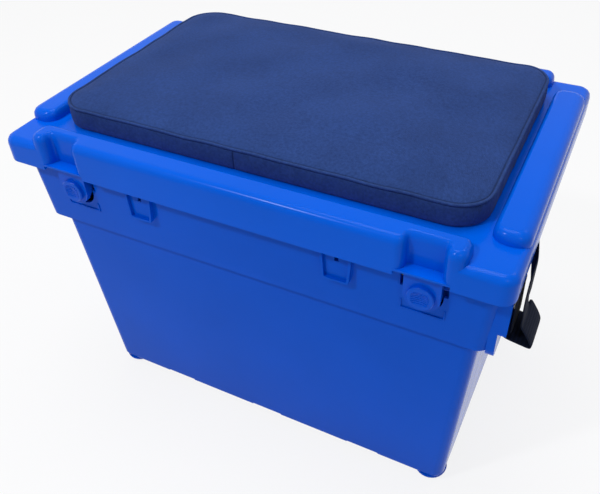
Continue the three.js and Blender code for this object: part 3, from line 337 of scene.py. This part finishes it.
tubPlastic = plasticMaterial("tub_plastic", "tub")
lidPlastic = plasticMaterial("lid_plastic", "lid")
leverPlastic = plasticMaterial("lever_plastic", "lever")
cushionCloth = clothMaterial("cushion_cloth")
strapWebbing = webbingMaterial("strap_webbing")
steelMetal = steelMaterial("zinc_steel")
slideBlack = slideMaterial("slide_plastic")
print("materials made")


# CAD solids with their edges eased: the faces that lie in one plane are joined,
# and every edge sharper than the limit gets a small radius
easing = {"radius": 0.9, "leverRadius": 0.4, "segments": 3, "limit": 32.0, "flat": 0.6, "evenWeight": 60}
# The band's lower lip is rounder: its height, the inner limits of its edges along and across,
# and how near the height they lie
lip = {"height": 233.0, "beyond": (222.0, 138.0), "near": 0.6, "radius": 2.4, "segments": 5}
# Stacking channels under the tub, opened out where they leave its rounded lower edge.
# Faces are the lower edge's distance from the middle, and the cut goes from inside to outside of it
channel = {
    "width": 43.0,
    "slope": 4.0,
    "height": 13.0,
    "inside": 3.4,
    "outside": 8.0,
    "acrossPlaces": (-116.0, 0.0, 117.0),
    "alongPlaces": (-64.0, 0.0, 64.0),
    "faceAcross": 124.2,
    "faceAlong": 205.0,
}


# Eight corners a notch: place + side * half width along the face, depth out from the middle, height
def channelCutter():
    low, high = channel["width"] / 2, channel["width"] / 2 - channel["slope"]
    ring = np.array([(-low, 0.0), (low, 0.0), (high, channel["height"]), (-high, channel["height"])])
    corners = []
    for places, face, across in ((channel["acrossPlaces"], channel["faceAcross"], True),
                                 (channel["alongPlaces"], channel["faceAlong"], False)):
        for place in places:
            for sign in (-1, 1):
                for depth in (face - channel["inside"], face + channel["outside"]):
                    along, out = ring[:, 0] + place, np.full(4, sign * depth)
                    flat = (along, out) if across else (out, along)
                    corners.append(np.stack([*flat, ring[:, 1]], axis=-1))
    points = np.concatenate(corners)
    sides = [(0, 1, 2, 3), (7, 6, 5, 4), (0, 4, 5, 1), (1, 5, 6, 2), (2, 6, 7, 3), (3, 7, 4, 0)]
    starts = np.arange(0, len(points), 8)
    faces = (starts[:, None, None] + np.array(sides)).reshape(-1, 4).tolist()
    cutter = meshObject("channel_cutter", points * mm, faces, smooth=False)
    shape = bmesh.new()
    shape.from_mesh(cutter.data)
    bmesh.ops.recalc_face_normals(shape, faces=shape.faces)
    shape.to_mesh(cutter.data)
    shape.free()
    return cutter


def cutChannels(piece):
    cutter = channelCutter()
    carve = piece.modifiers.new("channels", "BOOLEAN")
    carve.operation = "DIFFERENCE"
    carve.solver = "EXACT"
    carve.object = cutter
    bpy.context.view_layer.objects.active = piece
    bpy.ops.object.modifier_apply(modifier="channels")
    bpy.data.objects.remove(cutter)


# A wider bevel on the edges whose two ends lie at the lip's height and beyond its inner limits
def roundLip(piece):
    data = piece.data
    x, y, z = np.abs(meshPoints(data).T / mm)
    beyond = (x > lip["beyond"][0]) | (y > lip["beyond"][1])
    onLip = (np.abs(z - lip["height"]) < lip["near"]) & beyond
    ends = np.empty(len(data.edges) * 2, dtype=int)
    data.edges.foreach_get("vertices", ends)
    weights = onLip[ends].reshape(-1, 2).all(axis=1).astype(float)
    data.attributes.new("bevel_weight_edge", "FLOAT", "EDGE").data.foreach_set("value", weights)
    bevel = piece.modifiers.new("lip", "BEVEL")
    bevel.width = lip["radius"] * mm
    bevel.segments = lip["segments"]
    bevel.limit_method = "WEIGHT"


def easedCopy(nodeName, body, material, radius=easing["radius"]):
    piece = weldedCopy(nodeName, nodeName + "_eased", easing["flat"])
    piece.data.materials.append(material)
    if nodeName == "tub":
        cutChannels(piece)
        roundLip(piece)
    piece.data.polygons.foreach_set("use_smooth", [True] * len(piece.data.polygons))
    rounding = piece.modifiers.new("edges", "BEVEL")
    rounding.width = radius * mm
    rounding.segments = easing["segments"]
    rounding.limit_method = "ANGLE"
    rounding.angle_limit = math.radians(easing["limit"])
    rounding.use_clamp_overlap = True
    even = piece.modifiers.new("normals", "WEIGHTED_NORMAL")
    even.mode = "FACE_AREA"
    even.weight = easing["evenWeight"]
    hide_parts(nodeName)
    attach(piece, body)
    return piece


easedCopy("tub", "box_body", tubPlastic)
easedCopy("lid", "lid_body", lidPlastic)
for side in ("left", "right"):
    lever = easedCopy("latch_lever_" + side, "latch_" + side, leverPlastic, easing["leverRadius"])
print("tub, lid and levers eased")

# The other CAD nodes keep their own solids
for nodeName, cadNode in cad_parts.items():
    if nodeName.startswith(("foot_screw", "hinge_pin", "latch_pin", "latch_spring")):
        finish = steelMetal
    elif nodeName.startswith(("foot_", "tray")):
        finish = tubPlastic
    elif nodeName == "strap_slide":
        finish = slideBlack
    else:
        continue
    for slotPlace in cadNode.material_slots:
        slotPlace.material = finish


# Seat cushion: cloth over foam. A cloth simulation blows up a plain copy of the solid,
# and the cover takes its crown from that. Lengths are in mm
cushion = {
    "seamHeight": 350.5,
    "corner": 30.0,
    "columnPitch": 3.0,
    "turnSteps": 14,
    "topRows": 36,
    "joinPlace": -10.0,
    "joinWidth": 0.9,
    "joinDepth": 0.7,
    "joinSharpness": 2,
    "joinColumns": (-1, -0.5, -0.25, 0, 0.25, 0.5, 1),
    "joinClear": 1.2,
    "frontNormal": -0.9,
    "waveHeight": 0.35,
    "waveCounts": (9, 14, 21, 29),
    "waveFade": (2, 20),
    "puckerDepth": 0.45,
    "puckerCounts": (27, 41, 58, 83),
    "rippleHeight": 0.8,
    "rippleLengths": (58, 71, 83, 97, 118, 140),
    "rippleFade": (4, 30),
    "liftFade": (8, 1),
    "seed": 4,
}
# The border from the lid up, the seam's roll and its stitch groove: [inset, height, painted seam shade],
# where a painted shade of 1 darkens the grooves; the border's heights from the lid's bed, the roll's from the
# seam
coverBorder = [
    (1.6, 0.0, 0), (0.5, 0.8, 0), (0.0, 2.4, 0), (-0.2, 6.0, 0), (-0.3, 10.0, 0), (-0.1, 14.0, 0),
]
coverRoll = [
    (0.2, -3.4, 0), (0.6, -2.3, 0), (1.0, -1.7, 1), (0.5, -1.2, 0), (0.0, -0.7, 0), (-0.3, -0.1, 0),
    (-0.2, 0.5, 0), (0.3, 1.0, 0), (1.0, 1.2, 0), (1.7, 1.0, 0), (2.2, 0.5, 1), (2.6, 0.3, 1), (3.0, 0.6, 1),
]
# Insets of the top's outer rings, and the crown's height over the seam at some insets
coverTop = [3.6, 4.6, 6.2, 8.4, 11.0, 14.0, 17.0, 20.5, 24.0]
crownInset = [3.0, 4.6, 8.4, 15.0, 24.0, 34.0, 60.0]
crownHeight = [0.6, 1.5, 2.7, 4.1, 5.3, 6.0, 6.5]
# The blown copy: how it is cut back and meshed, how far a point may move, and the fit to its top,
# which counts from one inset and holds in full from another
blow = {
    "shrink": 2.2,
    "voxel": 4.0,
    "frames": 20,
    "cap": 2.0,
    "fitTerms": (8, 6),
    "fitEdge": 14.0,
    "fitFull": 34.0,
}
blowCloth = {
    "quality": 6,
    "mass": 0.3,
    "tension_stiffness": 12,
    "compression_stiffness": 12,
    "shear_stiffness": 5,
    "bending_stiffness": 0.4,
    "use_pressure": True,
    "uniform_pressure_force": 3.0,
}
tiny = 1e-9


# The points of the blown copy in mm: rest + shift * min(1, cap / |shift|)
def blownCushion(low, high):
    piece = weldedCopy("cushion", "cushion_blown")
    centre = (low + high) / 2
    half = np.array((high - low) / 2)
    shrink = blow["shrink"] * mm / half
    shrink[2] = 0
    piece.data.vertices.foreach_set("co", ((meshPoints(piece.data) - centre) * (1 - shrink) + centre).ravel())
    bpy.context.view_layer.objects.active = piece
    remesh = piece.modifiers.new("even", "REMESH")
    remesh.mode = "VOXEL"
    remesh.voxel_size = blow["voxel"] * mm
    bpy.ops.object.select_all(action="DESELECT")
    piece.select_set(True)
    bpy.ops.object.modifier_apply(modifier="even")
    rest = meshPoints(piece.data)
    fabric = piece.modifiers.new("fabric", "CLOTH")
    for key, value in blowCloth.items():
        setattr(fabric.settings, key, value)
    fabric.settings.effector_weights.gravity = 0
    scene = bpy.context.scene
    for step in range(1, blow["frames"] + 1):
        scene.frame_set(step)
    graph = bpy.context.evaluated_depsgraph_get()
    shift = meshPoints(piece.evaluated_get(graph).data) - rest
    piece.modifiers.remove(fabric)
    scene.frame_set(1)
    length = np.linalg.norm(shift, axis=1, keepdims=True)
    rest = rest + shift * np.minimum(1.0, blow["cap"] * mm / np.maximum(length, tiny))
    bpy.data.objects.remove(piece)
    return rest / mm


# Terms of a sum of cosines over the top: cos(i pi (u + 1) / 2) cos(j pi (w + 1) / 2),
# u and w from -1 to 1
def cosineTerms(u, w):
    i, j = (np.arange(count) for count in blow["fitTerms"])
    alongX = np.cos(np.multiply.outer(u + 1, i) * math.pi / 2)
    alongY = np.cos(np.multiply.outer(w + 1, j) * math.pi / 2)
    return (alongX[..., :, None] * alongY[..., None, :]).reshape(*np.shape(u), -1)


# Distance inside a rounded rectangle: corner - |max(q, 0)| - min(max(q), 0), q = |p| - flat
def insideBy(x, y, flatX, flatY):
    qx, qy = np.abs(x) - flatX, np.abs(y) - flatY
    outside = np.hypot(np.maximum(qx, 0), np.maximum(qy, 0))
    return cushion["corner"] - outside - np.minimum(np.maximum(qx, qy), 0)


# The rounded rectangle's columns: centre of turn and angle of the outward normal,
# evenly along the sides but closer at the upright join
def loopColumns(flatX, flatY):
    joinPlace, joinWidth = cushion["joinPlace"], cushion["joinWidth"]
    across = np.linspace(-flatX, flatX, round(flatX * 2 / cushion["columnPitch"]))
    join = joinPlace + joinWidth * np.array(cushion["joinColumns"])
    clear = np.abs(across - joinPlace) > joinWidth * cushion["joinClear"]
    across = np.union1d(across[clear], join)
    up = np.linspace(-flatY, flatY, round(flatY * 2 / cushion["columnPitch"]))
    turn = np.linspace(0, math.pi / 2, cushion["turnSteps"])[1:-1]
    runs = [(across, -flatY, -math.pi / 2), (flatX, -flatY, turn - math.pi / 2), (flatX, up, 0),
            (flatX, flatY, turn), (across[::-1], flatY, math.pi / 2), (-flatX, flatY, turn + math.pi / 2),
            (-flatX, up[::-1], math.pi), (-flatX, -flatY, turn + math.pi)]
    columns = [np.broadcast_arrays(*run) for run in runs]
    return (np.concatenate([run[part].astype(float) for run in columns]) for part in range(3))


# A wave round the loop: a sum of sines whose counts are whole, so that it closes
def roundWave(share, counts, seed):
    turns = np.random.default_rng(seed).uniform(0, 2 * math.pi, len(counts))
    sines = np.sin(2 * math.pi * np.multiply.outer(share, counts) + turns)
    return sines.sum(axis=-1) / math.sqrt(len(counts))


# Soft ripples over the top: a sum of sines, each with its own length, direction and start
def topRipple(x, y, seed):
    draws = np.random.default_rng(seed)
    ripple = 0
    for length in cushion["rippleLengths"]:
        turn, start = draws.uniform(0, 2 * math.pi, 2)
        ripple = ripple + np.sin(2 * math.pi * (x * math.cos(turn) + y * math.sin(turn)) / length + start)
    return ripple / math.sqrt(len(cushion["rippleLengths"])) * cushion["rippleHeight"]


# From 0 at the start to 1 at the end: 3 share^2 - 2 share^3, for a rise or a fall
def ease(value, start, end):
    share = np.clip((value - start) / (end - start), 0, 1)
    return share * share * (3 - 2 * share)


# Border, roll and groove are a profile of insets and heights round the loop. The top is rings
# as far in as the corners allow, then rings drawn in to a line along the middle
def cushionPiece():
    low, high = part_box("cushion")
    halfX, halfY = (high.x - low.x) / 2 / mm, (high.y - low.y) / 2 / mm
    middleY, bottom = (low.y + high.y) / 2 / mm, low.z / mm
    flatX, flatY = halfX - cushion["corner"], halfY - cushion["corner"]
    seam = cushion["seamHeight"]

    # The blown top as a smooth sum of cosines
    x, y, z = blownCushion(low, high).T
    y = y - middleY
    top = (z > seam) & (insideBy(x, y, flatX, flatY) > blow["fitEdge"])
    terms = np.linalg.lstsq(cosineTerms(x[top] / halfX, y[top] / halfY), z[top] - seam, rcond=None)[0]

    # The loop, its waves and its upright join
    centreX, centreY, angle = loopColumns(flatX, flatY)
    outX, outY = np.cos(angle), np.sin(angle)
    baseX, baseY = centreX + cushion["corner"] * outX, centreY + cushion["corner"] * outY
    run = np.concatenate([[0], np.cumsum(np.hypot(np.diff(baseX), np.diff(baseY)))])
    share = run / (run[-1] + math.hypot(baseX[0] - baseX[-1], baseY[0] - baseY[-1]))
    wave = cushion["waveHeight"] * roundWave(share, cushion["waveCounts"], cushion["seed"])
    pucker = cushion["puckerDepth"] * roundWave(share, cushion["puckerCounts"], cushion["seed"] + 1)
    fromJoin = (baseX - cushion["joinPlace"]) / cushion["joinWidth"] * cushion["joinSharpness"]
    join = np.exp(-fromJoin ** 2) * (outY < cushion["frontNormal"])

    # Border, roll and groove
    border = [(inset, bottom + height, shade) for inset, height, shade in coverBorder]
    border += [(inset, seam + height, shade) for inset, height, shade in coverRoll]
    inset, height, shade = (np.array(border)[:, part][:, None] for part in range(3))
    liftStart, liftEnd = cushion["liftFade"]
    lift = ease(height, seam - liftStart, seam - liftEnd)
    swell = np.sin(math.pi * np.clip((height - bottom) / (seam - bottom), 0, 1))
    below = height < seam - liftEnd
    depth = inset + pucker * swell + cushion["joinDepth"] * join * below
    edgeX, edgeY = baseX - outX * depth, baseY - outY * depth
    edgeZ = height + wave * lift
    # The seam attribute marks painted shade: 1 in the seam's grooves and along the upright join's crease
    edgeSeamShade = np.maximum(shade + 0 * wave, join * below)

    # Top
    rings = np.array(coverTop)[:, None]
    ringX, ringY = baseX - outX * rings, baseY - outY * rings
    drawn = np.linspace(0, 1, cushion["topRows"] + 1)[1:, None]
    spine = np.clip(baseX, -(halfX - halfY), halfX - halfY)
    topX = np.concatenate([ringX, ringX[-1] * (1 - drawn) + spine * drawn])
    topY = np.concatenate([ringY, ringY[-1] * (1 - drawn)])
    inside = insideBy(topX, topY, flatX, flatY)
    crown = np.interp(inside, crownInset, crownHeight)
    fitted = cosineTerms(topX / halfX, topY / halfY) @ terms
    full = ease(inside, blow["fitEdge"], blow["fitFull"])
    ripple = topRipple(topX, topY, cushion["seed"] + 2) * ease(inside, *cushion["rippleFade"])
    topWave = wave * (1 - ease(inside, *cushion["waveFade"]))
    topZ = seam + crown * (1 - full) + fitted * full + ripple + topWave

    x, y = np.concatenate([edgeX, topX]), np.concatenate([edgeY, topY]) + middleY
    z = np.concatenate([edgeZ, topZ])
    rows, columns = x.shape
    faces = gridFaces(rows, columns).tolist() + [list(range(columns))[::-1]]
    piece = meshObject("cushion_cover", np.stack([x, y, z], axis=-1).reshape(-1, 3) * mm, faces)
    # Painted shade along the seam's grooves and the join, which the cloth material reads
    mark = piece.data.attributes.new("seam", "FLOAT", "POINT")
    mark.data.foreach_set("value", np.concatenate([edgeSeamShade, np.zeros_like(topX)]).ravel())
    mergeDoubles(piece)
    piece.data.materials.append(cushionCloth)
    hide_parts("cushion")
    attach(piece, "lid_body")


cushionPiece()
print("cushion made")


# Shoulder strap: the CAD route smoothed, as a thin ribbon with rounded edges. Lengths are in mm
strap = {
    "width": 35.0,
    "thickness": 1.5,
    "edgeShare": 0.35,
    "edgePower": 10,
    "acrossSteps": 8,
    "between": 4,
    "turnRadius": 20.0,
    "turnSteps": 5,
    "turnStart": (11.9, -22.1),
    "turnEnd": (8.9, -8.5),
    "lugLine": 234.5,
    "lugTop": 292.5,
    "lugCentre": 120.0,
    "backLine": 150.0,
    "backHeight": 250.0,
}
# Places are [out, up] from the top of a lug plate's inner face
lugLoop = [
    (5.2, -30.5), (4.8, -16.5), (4.45, -4.5), (4.45, 0.9), (2.9, 2.7),
    (0.1, 2.7), (-1.65, 0.7), (-1.75, -3.5), (-1.75, -17.5), (-1.75, -30.5),
    (-1, -35.3), (2.9, -37.9), (8.5, -39.1), (15.5, -40.3), (20.1, -40.9),
    (21.7, -40.1), (21.5, -38.3), (18.9, -32.9), (15.1, -26.9),
]
# Places are [out, back, up]: from the lug's loop, then from the run behind
lugRun = [(8.7, 30, -8.5), (6.4, 44, -8.5), (3.9, 58, -9), (1.1, 80, -10)]
rightRun = [
    (-0.1, -120, 28), (-0.3, -80, 23), (-0.7, -45, 18), (-1.1, -20.5, 14),
    (-6.1, -6, 10.5), (-19, 0.4, 7), (-44.5, 1.2, 3.5), (-74.5, 0, 0),
]
leftRun = [
    (-114.5, 0, 0), (-74.5, 0.8, 2.5), (-39.5, 3, 12), (-16.5, 5, 23),
    (-2.5, 4, 30), (6.5, -1.5, 33), (9.6, -8, 34),
]


# Stations are [place, direction across the strap]. After the loop the strap turns backward
# on a quarter circle: start + (end - start) * sine, and radius * (1 - cosine) back
def lugStations(sign, centre):
    outward, lugTop = strap["lugLine"], strap["lugTop"]
    (startOut, startUp), (endOut, endUp) = strap["turnStart"], strap["turnEnd"]
    stations = [((sign * (outward + out), centre, lugTop + up), (0, 1, 0)) for out, up in lugLoop]
    for step in range(strap["turnSteps"] + 1):
        angle = step / strap["turnSteps"] * math.pi / 2
        out = startOut + (endOut - startOut) * math.sin(angle)
        up = startUp + (endUp - startUp) * math.sin(angle)
        y = centre + strap["turnRadius"] * (1 - math.cos(angle))
        place = (sign * (outward + out), y, lugTop + up)
        stations.append((place, (0, math.cos(angle), -math.sin(angle))))
    return stations


def runStations(places, sign, y, z):
    return [((sign * (strap["lugLine"] + out), y + back, z + up), (0, 0, -1)) for out, back, up in places]


# Points between the second and third of each four, on the curve through them all:
# half of 2b + (c - a)t + (2a - 5b + 4c - d)t^2 + (3b - a - 3c + d)t^3
def between(a, b, c, d, t):
    square = (2 * a - 5 * b + 4 * c - d) * t ** 2
    cube = (3 * b - a - 3 * c + d) * t ** 3
    return 0.5 * (2 * b + (c - a) * t + square + cube)


def unit(vectors):
    return vectors / np.linalg.norm(vectors, axis=1, keepdims=True)


# The ribbon: place(run) + across * side(run) + up * face(run), across and up on a flat oval,
# whose half thickness is (1 - share) * (1 - |across|^power) + share of the whole
def strapPiece():
    stations = lugStations(1, -strap["lugCentre"])
    stations += runStations(lugRun, 1, -strap["lugCentre"], strap["lugTop"])
    stations += runStations(rightRun, 1, strap["backLine"], strap["backHeight"])
    stations += runStations(leftRun, -1, strap["backLine"], strap["backHeight"])
    stations += lugStations(-1, strap["lugCentre"])[::-1]
    places = np.array([place for place, _ in stations], float)
    widths = np.array([width for _, width in stations], float)
    last = len(places) - 1
    share = (np.arange(strap["between"]) / strap["between"])[:, None]
    four = np.clip(np.arange(last)[:, None] + np.array([-1, 0, 1, 2]), 0, last)
    fine = between(*(places[four[:, k]][:, None] for k in range(4)), share)
    wide = widths[:-1, None] * (1 - share) + widths[1:, None] * share
    fine = np.concatenate([fine.reshape(-1, 3), places[-1:]])
    wide = np.concatenate([wide.reshape(-1, 3), widths[-1:]])
    along = unit(np.gradient(fine, axis=0))
    face = unit(np.cross(along, wide))
    side = np.cross(face, along)
    run = np.concatenate([[0], np.cumsum(np.linalg.norm(np.diff(fine, axis=0), axis=1))])

    # Cross-section: across cosine-spaced, the thickness easing to the edges
    top = -np.cos(math.pi * np.arange(strap["acrossSteps"] + 1) / strap["acrossSteps"])
    across = np.concatenate([top, top[::-1]]) * strap["width"] / 2
    thin = (1 - np.abs(top) ** strap["edgePower"]) * (1 - strap["edgeShare"]) + strap["edgeShare"]
    up = np.concatenate([thin, -thin[::-1]]) * strap["thickness"] / 2
    points = fine[:, None] + side[:, None] * across[:, None] + face[:, None] * up[:, None]
    strips = np.stack(np.broadcast_arrays(run[:, None] * mm, across * mm, 0.0), axis=-1)
    rows, columns = points.shape[:2]
    caps = [list(range(columns))[::-1], list(range((rows - 1) * columns, rows * columns))]
    faces = gridFaces(rows, columns).tolist() + caps
    piece = meshObject("shoulder_strap_webbing", points.reshape(-1, 3) * mm, faces)
    attribute = piece.data.attributes.new("strip", "FLOAT_VECTOR", "POINT")
    attribute.data.foreach_set("vector", strips.astype(float).ravel())
    piece.data.materials.append(strapWebbing)
    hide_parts("shoulder_strap")
    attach(piece, "box_body")


strapPiece()
print("strap made")


# Camera at the photograph's place, from a fit to the lid's and tub's edges
camera = {
    "azimuth": 27.52,
    "elevation": 39.75,
    "roll": -1.98,
    "distance": 0.7554,
    "target": (0, 0, 0.16797),
    "focalPixels": 678.14,
    "principal": (311.35, 239.36),
    "imageWidth": 600,
    "imageHeight": 494,
    "sensor": 36.0,
    "nearest": 0.01,
}


def placeCamera():
    az, el, roll = (math.radians(camera[key]) for key in ("azimuth", "elevation", "roll"))
    back = Vector((math.sin(az) * math.cos(el), -math.cos(az) * math.cos(el), math.sin(el)))
    forward = -back
    right = forward.cross(Vector((0, 0, 1))).normalized()
    up = right.cross(forward)
    turnedRight = right * math.cos(roll) + up * math.sin(roll)
    turnedUp = up * math.cos(roll) - right * math.sin(roll)
    position = Vector(camera["target"]) + back * camera["distance"]
    lens = bpy.data.cameras.new("view")
    lens.sensor_width = camera["sensor"]
    lens.lens = camera["focalPixels"] / camera["imageWidth"] * camera["sensor"]
    lens.shift_x = (camera["imageWidth"] / 2 - camera["principal"][0]) / camera["imageWidth"]
    lens.shift_y = (camera["principal"][1] - camera["imageHeight"] / 2) / camera["imageWidth"]
    lens.clip_start = camera["nearest"]
    view = linkedPiece("view", lens)
    axes = Matrix((turnedRight, turnedUp, back)).transposed().to_4x4()
    view.matrix_world = Matrix.Translation(position) @ axes
    bpy.context.scene.camera = view


placeCamera()

# Pale floor and plain soft studio light. A lamp has a place, a size and a power
studio = {
    "floorHalf": 12.0,
    "floor": (0.84, 0.84, 0.86),
    "floorRoughness": 0.9,
    "floorWhite": 0.84,
    "world": (0.93, 0.95, 1.0),
    "worldStrength": 0.24,
    "aim": (0, 0, 0.2),
    "lamps": {
        "key": ((-1.05, -1.6, 2.3), 0.24, 27),
        "fill": ((1.5, -1.6, 2.2), 0.16, 8),
        "top": ((-0.2, 0.2, 2.8), 1.6, 34),
        "back": ((1.3, 1.6, 2.4), 0.9, 8),
    },
}


# 1 for camera, glossy and transmission rays, which see white, and 0 for those that carry light
def whiteWhenSeen(tree):
    paths = node(tree, "ShaderNodeLightPath").outputs
    seen = calculate(tree, "MAXIMUM", paths["Is Camera Ray"], paths["Is Glossy Ray"])
    return calculate(tree, "MAXIMUM", seen, paths["Is Transmission Ray"])


# The plain shader, and white in its place by the share
def mixWhite(tree, share, plain, white, surface):
    mix = node(tree, "ShaderNodeMixShader")
    tree.links.new(share, mix.inputs["Fac"])
    tree.links.new(plain, mix.inputs[1])
    tree.links.new(white, mix.inputs[2])
    tree.links.new(mix.outputs["Shader"], surface)


def studioWorld():
    world = bpy.data.worlds.new("studio")
    bpy.context.scene.world = world
    world.use_nodes = True
    tree = world.node_tree
    lit = tree.nodes["Background"]
    lit.inputs["Color"].default_value = (*studio["world"], 1)
    lit.inputs["Strength"].default_value = studio["worldStrength"]
    white = node(tree, "ShaderNodeBackground", Color=(1, 1, 1, 1), Strength=1.0)
    mixWhite(tree, whiteWhenSeen(tree), lit.outputs["Background"], white.outputs["Background"],
             tree.nodes["World Output"].inputs["Surface"])


def studioFloor():
    half = studio["floorHalf"]
    corners = [(-half, -half, 0), (half, -half, 0), (half, half, 0), (-half, half, 0)]
    floor = meshObject("floor", corners, [(0, 1, 2, 3)], smooth=False)
    material, tree, shader = newMaterial("floor_paper")
    shader.inputs["Base Color"].default_value = (*studio["floor"], 1)
    setShader(shader, roughness=studio["floorRoughness"])
    white = node(tree, "ShaderNodeEmission", Strength=1.0)
    share = calculate(tree, "MULTIPLY", whiteWhenSeen(tree), studio["floorWhite"])
    mixWhite(tree, share, shader.outputs["BSDF"], white.outputs["Emission"],
             tree.nodes["Material Output"].inputs["Surface"])
    floor.data.materials.append(material)


def softLamp(name, place, size, power):
    data = bpy.data.lights.new(name, "AREA")
    data.shape = "DISK"
    data.size = size
    data.energy = power
    lamp = linkedPiece(name, data)
    lamp.location = place
    aim = Vector(studio["aim"]) - Vector(place)
    lamp.rotation_euler = aim.to_track_quat("-Z", "Y").to_euler()


studioWorld()
studioFloor()
for lampName, (place, size, power) in studio["lamps"].items():
    softLamp(lampName, place, size, power)
bpy.context.scene.view_settings.view_transform = "Standard"
print("stage made")
